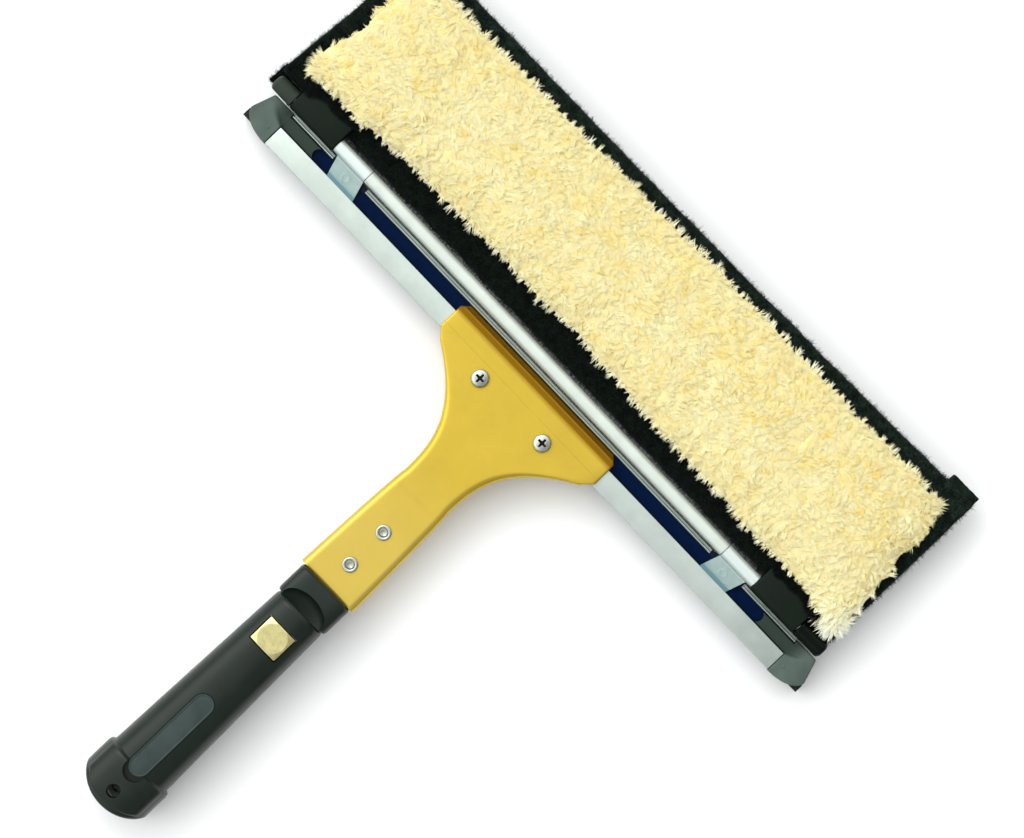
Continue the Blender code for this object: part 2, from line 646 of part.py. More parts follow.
def build_board(material, parent):
    """The stiff board, stepped down where the blocks' tongues lie."""
    low = (BOARD_LEFT, BOARD_NEAR, BOARD_BOTTOM)
    high = (BOARD_RIGHT, BOARD_FAR, BOARD_TOP)
    board = add("pad_board", block(low, high), material, parent)
    for label, side in (("left", -1), ("right", 1)):
        inner = WASHER_SHIFT + side * (BLOCK_START - GAP)
        outer = WASHER_SHIFT + side * (BLOCK_END + GAP)
        step_low = (min(inner, outer), BOARD_NEAR - GAP, BOARD_STEP)
        step_high = (max(inner, outer), HINGE_Y + TONGUE_REACH + GAP, BOARD_TOP + GAP)
        cut(board, block(step_low, step_high), f"step_{label}")
        for number, hole in enumerate(rivet_spools(side, GAP)):
            cut(board, hole, f"rivet_hole_{label}_{number}")


def build_board_rivets(material, parent):
    """Four flat-headed rivets hold the tongues to the board."""
    number = 1
    for side in (-1, 1):
        for body in rivet_spools(side, 0.0):
            add(f"board_rivet_{number}", body, material, parent)
            number += 1


def build_sleeve(material, parent):
    """The fabric pocket, open towards the rod, with a small corner tab."""
    plan = [
        (SLEEVE_LEFT, SLEEVE_NEAR), (SLEEVE_RIGHT, SLEEVE_NEAR),
        (SLEEVE_RIGHT, SLEEVE_FAR_RIGHT), (SLEEVE_LEFT, SLEEVE_FAR_LEFT),
    ]
    sleeve = add("sleeve", prism(plan, "Z", SLEEVE_BOTTOM, SLEEVE_TOP), material, parent)
    soften(sleeve, SLEEVE_ROUND, 3)
    tab_middle = (SLEEVE_TOP + SLEEVE_BOTTOM) / 2
    tab_low = (SLEEVE_RIGHT - CORNER_TAB_WIDTH, SLEEVE_FAR_RIGHT - SLEEVE_ROUND * 2,
               tab_middle - CORNER_TAB_THICK / 2)
    tab_high = (SLEEVE_RIGHT - SLEEVE_ROUND / 2, SLEEVE_FAR_RIGHT + CORNER_TAB_REACH,
                tab_middle + CORNER_TAB_THICK / 2)
    join(sleeve, block(tab_low, tab_high), "corner_tab")
    low = (BOARD_LEFT - GAP, SLEEVE_NEAR - SLEEVE_WALL, POCKET_BOTTOM)
    high = (BOARD_RIGHT + GAP, BOARD_FAR + GAP, POCKET_TOP)
    cut(sleeve, block(low, high), "pocket")


def build_pile(material, parent):
    """The pile as one crowned pad: its outline shrinks as it rises."""
    rings = []
    for rise, inset in PILE_PROFILE:
        drawn = inset + PILE_CORNER
        left, right, near = PILE_LEFT + drawn, PILE_RIGHT - drawn, PILE_NEAR + drawn
        far_left, far_right = PILE_FAR_LEFT - drawn, PILE_FAR_RIGHT - drawn
        outline = arc(right, near, PILE_CORNER, -90, 0, 4)
        outline += arc(right, far_right, PILE_CORNER, 0, 90, 4)
        outline += arc(left, far_left, PILE_CORNER, 90, 180, 4)
        outline += arc(left, near, PILE_CORNER, 180, 270, 4)
        height = SLEEVE_TOP + GAP + PILE_HEIGHT * rise
        rings.append([Vector((x, y, height)) for x, y in outline])
    add("pile", loft(rings), material, parent)


# Bracket

def bracket_half_width(y):
    """Half the bracket's width: a chamfered head, a flare and a neck that widens again."""
    chamfer_start = -HEAD_SHOULDER
    flare_start = chamfer_start - HEAD_CHAMFER_Y
    flare_half = HEAD_HALF - HEAD_CHAMFER_X
    lip_start = LIP_FRONT - LIP_CHAMFER
    if y > lip_start:
        return HEAD_HALF - (y - lip_start)
    if y > chamfer_start:
        return HEAD_HALF
    if y > flare_start:
        return HEAD_HALF - HEAD_CHAMFER_X * (chamfer_start - y) / HEAD_CHAMFER_Y
    if y > WAIST_Y:
        share = (y - WAIST_Y) / (flare_start - WAIST_Y)
        return WAIST_HALF + (flare_half - WAIST_HALF) * share ** FLARE_POWER
    share = (WAIST_Y - y) / (WAIST_Y - NECK_END_Y)
    return WAIST_HALF + (NECK_END_HALF - WAIST_HALF) * share ** NECK_POWER


def rising(y, front, rear):
    """A height that eases from the head's value to the neck's."""
    share = min(1.0, max(0.0, (-HEAD_SHOULDER - y) / SHELL_RISE_LENGTH))
    share = share * share * (3 - 2 * share)
    return front + (rear - front) * share


def shell_seam(y):
    """The height where the two shells meet."""
    return rising(y, SEAM_FRONT, GRIP_AXIS_Z)


def shell_ring(y, crown, seam, roof, corner):
    """One section of a shell across the tool: outer skin, edges on the seam and inner skin.

    All three are heights. The upper shell's crown lies above its seam, the lower one's below.
    """
    half = bracket_half_width(y)
    tall = abs(crown - seam)
    hollow = abs(roof - seam)
    corner = min(corner, tall * SHELL_CORNER)
    inner_half = half - SHELL_WALL
    inner_corner = min(max(corner - SHELL_WALL, GAP), hollow * SHELL_CORNER)
    outer = [(half, 0.0)] + arc(half - corner, tall - corner, corner, 0, 90, 4)
    outer += arc(-half + corner, tall - corner, corner, 90, 180, 4) + [(-half, 0.0)]
    inner = [(-inner_half, 0.0)]
    inner += arc(-inner_half + inner_corner, hollow - inner_corner, inner_corner, 180, 90, 3)
    inner += arc(inner_half - inner_corner, hollow - inner_corner, inner_corner, 90, 0, 3)
    inner.append((inner_half, 0.0))
    sign = math.copysign(1, crown - seam)
    return [Vector((x, y, seam + sign * rise)) for x, rise in outer + inner]


def neck_stations():
    """Places along the neck, closer together where the bracket flares."""
    flare_start = -HEAD_SHOULDER - HEAD_CHAMFER_Y
    span = WAIST_Y - flare_start
    flare = [flare_start + span * (step / 12) ** STATION_CROWDING for step in range(13)]
    neck = [WAIST_Y + (NECK_END_Y - WAIST_Y) * step / 5 for step in range(1, 6)]
    return flare + neck


def screw_places():
    """The two clamp screws, as (name ending, x) pairs."""
    return (("left", -SCREW_SPREAD / 2), ("right", SCREW_SPREAD / 2))


def rivet_ys():
    """The two tubular rivets, as (name ending, y) pairs."""
    return (("front", TUBE_RIVET_FRONT_Y), ("rear", TUBE_RIVET_REAR_Y))


def drill_shell(shell):
    """The holes for the screws and the tubular rivets."""
    for label, x in screw_places():
        hole = rod("Z", x, SCREW_Y, SCREW_SHANK + GAP, 0, 2 * GRIP_AXIS_Z)
        cut(shell, hole, f"screw_hole_{label}")
    for label, y in rivet_ys():
        hole = rod("Z", 0, y, TUBE_RIVET_SHANK + GAP, 0, 2 * GRIP_AXIS_Z)
        cut(shell, hole, f"rivet_hole_{label}")


def lip_fall(y, top, bottom, start, end, curve):
    """A height that falls along the lip, from its start to its end."""
    share = min(1.0, max(0.0, (y - start) / (end - start)))
    return top + (bottom - top) * share ** curve


def build_upper_shell(material):
    """The shell that faces the user: its front lip dips into the channel's trough."""
    turn = STRIP_FRONT + FACET_START
    lip_under = STRIP_FRONT + GAP
    lip_flat = LIP_FRONT - LIP_THICK
    front = {LIP_FRONT, lip_flat, LIP_FRONT - LIP_CHAMFER, (turn + LIP_FRONT) / 2, turn, lip_under,
             0.0, JAW_BACK + GAP}
    sections = []
    for y in sorted(front, reverse=True):
        under = lip_fall(y, SHELL_FRONT_UNDER, LIP_BOTTOM, lip_under, lip_flat, 1.0)
        crown = lip_fall(y, SHELL_FRONT_TOP, LIP_BOTTOM + LIP_THICK, turn, LIP_FRONT, LIP_CURVE)
        sections.append(shell_ring(y, crown, under, under + PLATE_RELIEF, LIP_ROUND))
    for y in [JAW_BACK, JAW_BACK - SHELL_WALL] + neck_stations():
        top = rising(y, SHELL_FRONT_TOP, SHELL_REAR_TOP)
        seam = shell_seam(y) + GAP / 2
        sections.append(shell_ring(y, top, seam, top - SHELL_WALL, SHELL_ROUND))
    shell = add("upper_shell", loft(sections), material)
    drill_shell(shell)


def build_lower_shell(material):
    """The other shell: a jaw hooks under the channel, and a thick wall takes the screws."""
    wall_back = JAW_BACK - JAW_WALL
    sections = []
    for y in (JAW_BACK + GAP + JAW_REACH, JAW_BACK + GAP / 3):
        sections.append(shell_ring(y, JAW_BOTTOM, JAW_TOP, JAW_TOP - PLATE_RELIEF, JAW_ROUND))
    for y in (JAW_BACK, wall_back):
        seam = shell_seam(y) - GAP / 2
        sections.append(shell_ring(y, JAW_BOTTOM, seam, seam - PLATE_RELIEF, SHELL_ROUND))
    for y in [wall_back - GAP] + [y for y in neck_stations() if y < wall_back - GAP]:
        bottom = rising(y, JAW_BOTTOM, SHELL_REAR_BOTTOM)
        seam = shell_seam(y) - GAP / 2
        sections.append(shell_ring(y, bottom, seam, bottom + SHELL_WALL, SHELL_ROUND))
    shell = add("lower_shell", loft(sections), material)
    drill_shell(shell)


def build_clamp_screws(material):
    """Pan-head screws with a cross recess."""
    seat = rising(SCREW_Y, SHELL_FRONT_TOP, SHELL_REAR_TOP) + GAP
    end = JAW_BOTTOM - NUT_HEIGHT - 3 * GAP
    head_top = seat + SCREW_HEAD_HEIGHT
    for label, x in screw_places():
        profile = [(end, 0), (end, SCREW_SHANK), (seat, SCREW_SHANK), (seat, SCREW_HEAD)]
        for step in range(1, 6):
            turn = math.pi / 2 * step / 5
            height = seat + SCREW_HEAD_HEIGHT * (SCREW_SIDE + (1 - SCREW_SIDE) * math.sin(turn))
            profile.append((height, SCREW_HEAD * (SCREW_CROWN + (1 - SCREW_CROWN) * math.cos(turn))))
        profile.append((head_top, 0))
        screw = add(f"clamp_screw_{label}", turned(profile, "Z", x, SCREW_Y), material)
        floor = head_top - CROSS_DEPTH
        bars = [((CROSS_HALF, CROSS_WIDTH / 2), "cross_a"), ((CROSS_WIDTH / 2, CROSS_HALF), "cross_b")]
        for (reach_x, reach_y), bar in bars:
            low = (x - reach_x, SCREW_Y - reach_y, floor)
            high = (x + reach_x, SCREW_Y + reach_y, head_top + GAP)
            cut(screw, block(low, high), bar)


def build_clamp_nuts(material):
    """Hexagon nuts under the lower shell."""
    top = JAW_BOTTOM - GAP
    bottom = top - NUT_HEIGHT
    corner = NUT_ACROSS / math.sqrt(3)
    for label, x in screw_places():
        hexagon = turned(
            [(bottom, 0), (bottom, corner), (top, corner), (top, 0)], "Z", x, SCREW_Y, 6)
        nut = add(f"clamp_nut_{label}", hexagon, material)
        cut(nut, rod("Z", x, SCREW_Y, SCREW_SHANK + GAP, bottom - GAP, top + GAP), "thread")


def build_tube_rivets(material):
    """Semi-tubular rivets through both shells and the grip's tongue."""
    for label, y in rivet_ys():
        top = rising(y, SHELL_FRONT_TOP, SHELL_REAR_TOP) + GAP
        bottom = rising(y, JAW_BOTTOM, SHELL_REAR_BOTTOM) - GAP
        crown = top + TUBE_RIVET_RIM
        floor = crown - TUBE_RIVET_DEPTH
        profile = [
            (floor, 0), (floor, TUBE_RIVET_BORE), (top, TUBE_RIVET_BORE),
            (crown, TUBE_RIVET_BORE + TUBE_RIVET_RIM * TUBE_RIVET_TAPER),
            (crown, TUBE_RIVET_HEAD - TUBE_RIVET_RIM), (top, TUBE_RIVET_HEAD),
            (top, TUBE_RIVET_SHANK), (bottom, TUBE_RIVET_SHANK),
            (bottom, TUBE_RIVET_HEAD), (bottom - TUBE_RIVET_RIM, TUBE_RIVET_HEAD * TUBE_RIVET_TAPER),
            (bottom - TUBE_RIVET_RIM, 0),
        ]
        add(f"tube_rivet_{label}", turned(profile, "Z", 0, y), material)


# Grip and latch

def grip_section(y, half, top, bottom, squareness, points=36):
    """A rounded section across the grip: a superellipse with its own top and bottom heights."""
    section = []
    for step in range(points):
        angle = 2 * math.pi * step / points
        across = abs(math.cos(angle)) ** (2 / squareness) * math.copysign(1, math.cos(angle))
        up = abs(math.sin(angle)) ** (2 / squareness) * math.copysign(1, math.sin(angle))
        height = top if up > 0 else bottom
        section.append(Vector((half * across, y, GRIP_AXIS_Z + height * up)))
    return section


def grip_body_size(y):
    """Half width and half height of the hand grip at a place along it."""
    share = (BODY_START_Y - y) / GRIP_LENGTH
    return (GRIP_FRONT_HALF + (GRIP_REAR_HALF - GRIP_FRONT_HALF) * share,
            GRIP_FRONT_HALF + (GRIP_REAR_HEIGHT - GRIP_FRONT_HALF) * share)


def grip_skin():
    """The outer skin of the grip, from the shoulder to past the butt."""
    rounding = [(0.0, SHOULDER_ROUND), (SHOULDER_ROUND * 0.3, SHOULDER_ROUND * 0.3), (SHOULDER_ROUND, 0.0),
                (SHOULDER_LENGTH - GAP, 0.0)]
    rings = [
        grip_section(GRIP_START_Y - along, SHOULDER_HALF - inset, SHOULDER_TOP - inset,
                     SHOULDER_BOTTOM - inset, SHOULDER_SQUARENESS)
        for along, inset in rounding
    ]
    for step in range(9):
        y = BODY_START_Y - GRIP_LENGTH * step / 8
        half, height = grip_body_size(y)
        rings.append(grip_section(y, half, height, height, BODY_SQUARENESS))
    rim = [(RIM_START_Y - RIM_FLARE / 2, RIM_FLARE / 4, GAP), (RIM_START_Y - RIM_FLARE, 0.0, 0.0),
           (RIM_END_Y, 0.0, 0.0), (BUTT_Y - RIM_FLARE, 0.0, 0.0)]
    for y, inset, drop in rim:
        height = RIM_HEIGHT - drop
        rings.append(grip_section(y, RIM_HALF - inset, height, height, RIM_SQUARENESS))
    return rings


def inlay_outline(spare, tail):
    """The inlay's round-ended outline in plan, wider by the spare and longer by the tail."""
    half_length = (INLAY_START_Y - INLAY_END_Y + tail) / 2 + spare
    middle = (INLAY_START_Y + INLAY_END_Y - tail) / 2
    upright = stadium((middle, 0), half_length, INLAY_WIDTH / 2 + spare)
    return [(x, y) for y, x in upright]


def inlay_floor():
    """The height of the pocket's floor under the inlay."""
    return GRIP_AXIS_Z + grip_body_size(INLAY_START_Y)[1] - INLAY_DEPTH


def well_floor():
    """The height of the latch well's floor."""
    return GRIP_AXIS_Z - grip_body_size(BUTTON_Y)[1] + WELL_FLOOR


def build_grip(material):
    """The moulded grip: tongue, shoulder, hand grip, butt rim, pole socket and latch well."""
    tip = GRIP_TONGUE_TIP_Y
    tongue_half = bracket_half_width(tip) - SHELL_WALL - TONGUE_SIDE_ROOM
    tongue = []
    for y, lean in ((tip, 2 * GAP), (tip - 4 * GAP, 0.0), (GRIP_START_Y + GAP / 3, 0.0)):
        height = TONGUE_HALF_HEIGHT - lean
        tongue.append(grip_section(y, tongue_half - lean, height, height, TONGUE_SQUARENESS))
    grip = add("grip", loft(tongue + grip_skin()), material)

    saddle = []
    for step in range(7):
        turn = math.radians(SADDLE_SWEEP) * step / 6
        scale = math.cos(turn)
        y = BODY_START_Y + SADDLE_LENGTH * math.sin(turn)
        top = GRIP_AXIS_Z + SHOULDER_TOP
        saddle.append([
            Vector((SADDLE_HALF * scale * across, y, top + SADDLE_DEPTH * scale * up))
            for across, up in arc(0, 0, 1, 0, 345, 23)
        ])
    cut(grip, loft(saddle), "saddle")

    far = BUTT_Y - 3 * RIM_FLARE
    radius = (RIM_HALF ** 2 + BUTT_BULGE ** 2) / (2 * BUTT_BULGE)
    spread = math.degrees(math.asin((RIM_HALF + GAP) / radius))
    end_arc = arc(0, BUTT_Y + radius, radius, 270 - spread, 270 + spread, 18)
    wide = 2 * RIM_HALF
    butt = [(-wide, far), (-wide, end_arc[0][1])] + end_arc + [(wide, end_arc[-1][1]), (wide, far)]
    cut(grip, prism(butt, "Z", -RIM_HEIGHT, GRIP_AXIS_Z + 2 * RIM_HEIGHT), "butt_end")

    socket = [(far, 0), (far, SOCKET_RADIUS), (SOCKET_END_Y, SOCKET_RADIUS),
              (SOCKET_END_Y, SOCKET_RADIUS - SEAT_STEP), (SEAT_Y, SOCKET_RADIUS - SEAT_STEP),
              (SEAT_Y, NOSE_RADIUS), (BUTTON_Y, NOSE_RADIUS), (BUTTON_Y, 0)]
    cut(grip, turned(socket, "Y", 0, GRIP_AXIS_Z, 32), "pole_socket")

    half_x = BUTTON_LENGTH / 2 + GAP
    half_y = BUTTON_WIDTH / 2 + GAP
    well_low = (-half_x, BUTTON_Y - half_y, well_floor())
    well_high = (half_x, BUTTON_Y + half_y, GRIP_AXIS_Z + 2 * RIM_HEIGHT)
    cut(grip, block(well_low, well_high), "latch_well")
    pin_y = BUTTON_Y + BUTTON_WIDTH / 2
    pin_z = GRIP_AXIS_Z + LATCH_PIN_RISE
    cut(grip, rod("X", pin_y, pin_z, LATCH_PIN_RADIUS + GAP, -RIM_HALF, RIM_HALF, 16), "latch_pin_hole")

    pocket = prism(inlay_outline(GAP, INLAY_SPARE), "Z", inlay_floor(), GRIP_AXIS_Z + 2 * RIM_HEIGHT)
    cut(grip, pocket, "inlay_pocket")
    hang = rod("Z", 0, HANG_HOLE_Y, HANG_HOLE_RADIUS, -RIM_HEIGHT, GRIP_AXIS_Z + 2 * RIM_HEIGHT, 26)
    cut(grip, hang, "hang_hole")
    for label, y in rivet_ys():
        hole = rod("Z", 0, y, TUBE_RIVET_SHANK + GAP, 0, 2 * GRIP_AXIS_Z)
        cut(grip, hole, f"rivet_hole_{label}")


def build_inlay(material):
    """The plate in the grip's top, flush with its skin."""
    plate = prism(inlay_outline(0.0, 0.0), "Z", inlay_floor() + GAP, GRIP_AXIS_Z + 2 * RIM_HEIGHT)
    inlay = add("grip_inlay", plate, material)
    combine(inlay, loft(grip_skin()), "INTERSECT", "skin")


def build_button(material, parent):
    """The brass latch: a square block with a round face, a window and a side groove."""
    top = GRIP_AXIS_Z + grip_body_size(BUTTON_Y)[1] + BUTTON_PROUD
    window_z = GRIP_AXIS_Z + BUTTON_TRAVEL
    bottom = window_z - WINDOW_RADIUS - YOKE_BAR
    low = (-BUTTON_LENGTH / 2, BUTTON_Y - BUTTON_WIDTH / 2, bottom)
    high = (BUTTON_LENGTH / 2, BUTTON_Y + BUTTON_WIDTH / 2, top)
    button = add("release_button", block(low, high), material, parent)
    corner = BUTTON_LENGTH
    fall = (corner - BUTTON_FACE) * BUTTON_SLOPE
    profile = [(bottom - GAP, 0), (bottom - GAP, corner), (top - fall, corner),
               (top - GAP / 3, BUTTON_FACE), (top - GAP / 3, 0)]
    combine(button, turned(profile, "Z", 0, BUTTON_Y, 40), "INTERSECT", "round_face")
    window = rod("Y", 0, window_z, WINDOW_RADIUS, low[1] - GAP, high[1] + GAP)
    cut(button, window, "window")
    pin_z = GRIP_AXIS_Z + LATCH_PIN_RISE
    room = LATCH_PIN_RADIUS + GAP
    groove_low = (-BUTTON_LENGTH, high[1] - room, pin_z - room)
    groove_high = (BUTTON_LENGTH, high[1] + room, pin_z + room + BUTTON_TRAVEL)
    cut(button, block(groove_low, groove_high), "groove")


def build_button_pin(material):
    """The cross pin that stops the button at the top of its travel."""
    pin_y = BUTTON_Y + BUTTON_WIDTH / 2
    pin_z = GRIP_AXIS_Z + LATCH_PIN_RISE
    reach = BUTTON_LENGTH / 2 + LATCH_PIN_OVERHANG
    add("button_pin", rod("X", pin_y, pin_z, LATCH_PIN_RADIUS, -reach, reach, 16), material)


def build_button_spring(material):
    """The coil spring under the button: a round wire along a helix."""
    low = well_floor() + GAP + SPRING_WIRE
    high = GRIP_AXIS_Z + BUTTON_TRAVEL - WINDOW_RADIUS - YOKE_BAR - GAP - SPRING_WIRE
    steps = SPRING_TURNS * SPRING_FACETS
    rings = []
    for step in range(steps + 1):
        share = step / steps
        angle = 2 * math.pi * SPRING_TURNS * share
        height = low + (high - low) * share
        outward = Vector((math.cos(angle), math.sin(angle), 0))
        centre = Vector((0, BUTTON_Y, height)) + SPRING_RADIUS * outward
        rings.append([
            centre + outward * across + Vector((0, 0, up))
            for across, up in arc(0, 0, SPRING_WIRE, 0, 300, 5)
        ])
    add("button_spring", loft(rings), material)


def build_all():
    """Build every piece."""
    clear_scene()
    silver = finish("aluminium", (0.80, 0.83, 0.81), 0.35, 0.9)
    zinc = finish("zinc_plate", (0.68, 0.76, 0.77), 0.30, 0.9)
    steel = finish("steel", (0.62, 0.62, 0.60), 0.30, 1.0)
    nickel = finish("nickel", (0.78, 0.76, 0.70), 0.20, 1.0)
    gold = finish("gold_lacquer", (0.74, 0.47, 0.04), 0.35, 0.6)
    brass = finish("brass", (0.78, 0.68, 0.33), 0.30, 1.0)
    navy = finish("navy", (0.01, 0.03, 0.14), 0.35)
    grey = finish("grey_plastic", (0.16, 0.20, 0.18), 0.50)
    black = finish("black_nylon", (0.02, 0.025, 0.022), 0.45)
    inlay_grey = finish("inlay_grey", (0.07, 0.09, 0.09), 0.50)
    rubber = finish("rubber", (0.02, 0.022, 0.02), 0.70)
    board = finish("board", (0.06, 0.06, 0.06), 0.60)
    fabric = finish("black_fabric", (0.01, 0.012, 0.011), 0.95)
    fleece = finish("yellow_pile", (0.93, 0.80, 0.42), 0.95)

    slide = pivot("channel_slide", 0, 0, STRIP_TOP)
    hinge = pivot("pad_flip", WASHER_SHIFT, HINGE_Y, HINGE_Z)
    press = pivot("release_press", 0, BUTTON_Y, GRIP_AXIS_Z)

    build_channel(silver, slide)
    build_recess_strip(navy, slide)
    build_end_plug("end_plug_left", -1, grey, slide)
    build_end_plug("end_plug_right", 1, grey, slide)
    build_blade(rubber, slide)
    build_clip("clip_left", -1, zinc, slide)
    build_clip("clip_right", 1, zinc, slide)

    build_hinge_tube(silver, hinge)
    build_rod(steel, hinge)
    build_block("pivot_block_left", -1, black, hinge)
    build_block("pivot_block_right", 1, black, hinge)
    build_cap("pin_cap_left", -1, CAP_LENGTH_LEFT, black, hinge)
    build_cap("pin_cap_right", 1, CAP_LENGTH_RIGHT, black, hinge)
    build_board(board, hinge)
    build_board_rivets(nickel, hinge)
    build_sleeve(fabric, hinge)
    build_pile(fleece, hinge)

    build_upper_shell(gold)
    build_lower_shell(gold)
    build_clamp_screws(nickel)
    build_clamp_nuts(steel)
    build_tube_rivets(nickel)
    build_grip(black)
    build_inlay(inlay_grey)
    build_button(brass, press)
    build_button_pin(steel)
    build_button_spring(steel)


build_all()
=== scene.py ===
"""Window squeegee with a flip-over washer: its looks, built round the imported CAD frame.

Metres, +Z up, in the CAD's own frame. Every new piece is a surface worked out as whole arrays:
a profile carried along a path, or a height over a plan. It sits at the origin, with its place
in its mesh, and rides on the CAD body that it belongs to.
"""

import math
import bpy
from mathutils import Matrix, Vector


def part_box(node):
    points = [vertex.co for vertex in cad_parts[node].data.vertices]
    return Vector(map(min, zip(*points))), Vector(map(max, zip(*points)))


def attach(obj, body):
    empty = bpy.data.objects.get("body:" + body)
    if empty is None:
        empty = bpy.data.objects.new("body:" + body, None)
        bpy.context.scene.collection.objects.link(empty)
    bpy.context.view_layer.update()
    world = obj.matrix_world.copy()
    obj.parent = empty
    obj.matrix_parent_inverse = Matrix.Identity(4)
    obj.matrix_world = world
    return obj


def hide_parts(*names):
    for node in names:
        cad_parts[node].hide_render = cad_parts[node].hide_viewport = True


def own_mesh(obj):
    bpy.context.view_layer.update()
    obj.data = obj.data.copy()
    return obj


bl_info = {
    "name": "Window Squeegee Looks",
    "version": (1, 0, 0),
    "blender": (4, 5, 0),
    "location": "3D View > Sidebar > Squeegee",
    "description": "Builds the visible pieces and finishes of a window squeegee with a washer",
    "category": "Object",
}

import bpy
import numpy as np
from bpy.props import FloatProperty, FloatVectorProperty, IntProperty, PointerProperty
from bpy.types import Operator, Panel, PropertyGroup
from mathutils import Vector

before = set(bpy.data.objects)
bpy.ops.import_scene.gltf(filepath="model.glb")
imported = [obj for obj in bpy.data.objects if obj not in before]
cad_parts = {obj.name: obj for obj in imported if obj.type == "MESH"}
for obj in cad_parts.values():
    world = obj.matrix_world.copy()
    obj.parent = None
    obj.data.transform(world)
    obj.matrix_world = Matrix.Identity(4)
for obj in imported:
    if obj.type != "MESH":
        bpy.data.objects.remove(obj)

FULL_TURN = 2 * math.pi
SIDES = {-1: "left", 1: "right"}

# Sizes of more than one piece
GAP = 0.0003                # between pieces that touch
RUBBER_LIP = 0.0013         # how far the channel's lips reach under the rubber
LUG_END = 0.0305            # the far edge of the pivot blocks' lugs, along Y
SEAM_DROP = 0.0012          # the shells' seam under the strip's top, at the head
SHOULDER_HALF = 0.01465     # half the width of the grip's shoulder block
GRIP_POWER = 2.5            # the squareness of the grip's superellipse

# Sizes of one piece
THIN = 0.0001               # a hollow's least height where a shell is solid
TAB_MARK_Y = 0.0112         # the middle of the round mark on a clip's tab
FIBRE_RADIUS = 0.00011      # a short fibre of the sleeve, at its root
CLIP_CORNERS = ((0.0046, 0.01560), (0.0080, 0.01465), (0.0158, 0.0170))  # tip, bend, knee


def box(node):
    """A CAD node's lowest and highest corners, as arrays."""
    low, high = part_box(node)
    return np.array(low), np.array(high)


def centre_of(node):
    """The middle of a CAD node's box."""
    return sum(box(node)) / 2


def reach_of(node, side):
    """A CAD node's inner and outer ends along X, measured outwards on its own side."""
    low, high = box(node)
    return (low[0], high[0]) if side > 0 else (-high[0], -low[0])


# Places read from the frame
CHANNEL_LOW, CHANNEL_HIGH = box("channel")
TUBE_LOW, TUBE_HIGH = box("hinge_tube")
SLEEVE_LOW, SLEEVE_HIGH = box("sleeve")
PILE_LOW, PILE_HIGH = box("pile")
SHELL_LOW, SHELL_HIGH = box("upper_shell")
JAW_LOW, JAW_HIGH = box("lower_shell")
GRIP_LOW, GRIP_HIGH = box("grip")
INLAY_LOW, INLAY_HIGH = box("grip_inlay")
BUTTON_LOW, BUTTON_HIGH = box("release_button")
RECESS_LOW, RECESS_HIGH = box("recess_strip")
SPRING_LOW, SPRING_HIGH = box("button_spring")
HINGE_Y, HINGE_Z = centre_of("hinge_tube")[1:]
TUBE_RADIUS = (TUBE_HIGH[1] - TUBE_LOW[1]) / 2
GRIP_AXIS_Z = centre_of("grip")[2]
GRIP_START = SHELL_LOW[1] - GAP
BUTTON_Y = centre_of("release_button")[1]

# The pile's near and far edges, as pairs of X and Y
PILE_NEAR = (
    (PILE_LOW[0], 0.0325), (-0.150, 0.0330), (-0.140, 0.0325), (-0.130, 0.0350),
    (-0.090, 0.0366), (0.0, 0.0376), (0.045, 0.0347), (0.090, 0.0345), (0.105, 0.0330),
    (0.150, 0.0322), (0.160, 0.0283), (PILE_HIGH[0], 0.0272))
PILE_FAR = (
    (PILE_LOW[0], 0.0995), (-0.140, 0.0997), (-0.020, 0.1006), (0.030, 0.1022), (0.100, 0.1020),
    (0.140, 0.1030), (PILE_HIGH[0], 0.1008))

# How far the pile's ends are drawn in, as pairs of Y and X
PILE_LEFT = (
    (0.0270, 0.0020), (0.0330, 0.0012), (0.0400, 0.0), (0.0460, 0.0008), (0.0570, 0.0052),
    (0.1000, 0.0056))
PILE_RIGHT = (
    (0.0270, -0.0006), (0.0450, -0.0004), (0.0640, 0.0012), (0.0740, 0.0030), (0.0880, 0.0020),
    (0.1000, 0.0068))


# Settings

def length(label, default, note):
    """A size in metres that a user may change."""
    return FloatProperty(name=label, description=note, default=float(default), unit="LENGTH",
                         precision=5)


def tint(label, default, note):
    """A colour that a user may change."""
    return FloatVectorProperty(name=label, description=note, default=default, size=3,
                               subtype="COLOR", min=0.0, max=1.0)


class ChannelSettings(PropertyGroup):
    """Sizes and colours of the channel and what is fixed in it."""
    strip_front: length("Strip Front", 0.0060, "Front edge of the channel's flat strip")
    ledge_back: length("Ledge Back", 0.0126, "Back of the front ledge")
    wall: length("Wall", 0.0012, "Wall of the extruded section")
    trough_depth: length("Trough Depth", 0.0050, "Depth of the trough below the strip")
    ledge_drop: length("Ledge Drop", 0.0022, "How far the ledge lies below the strip")
    bead_width: length("Bead Width", 0.0017, "Width of the rounded bead along the ledge")
    groove_depth: length("Groove Depth", 0.0010, "Depth of the fine groove beside the bead")
    edge_round: length("Edge Round", 0.00035, "Rounding of the section's corners")
    # This depth sets only the painted shade on the end plugs: how far below their top the grey
    # deepens.
    plug_shade_depth: length("Plug Dip", 0.0020, "How far an end plug dips towards its tongue")
    silver: tint("Aluminium", (0.49, 0.55, 0.51), "Colour of the extruded aluminium")
    navy: tint("Navy", (0.0, 0.0065, 0.034), "Colour of the strip in the trough")
    plug_grey: tint("Plug Grey", (0.081, 0.114, 0.097), "Colour of the moulded end plugs")
    rubber: tint("Rubber", (0.012, 0.013, 0.012), "Colour of the rubber blade")


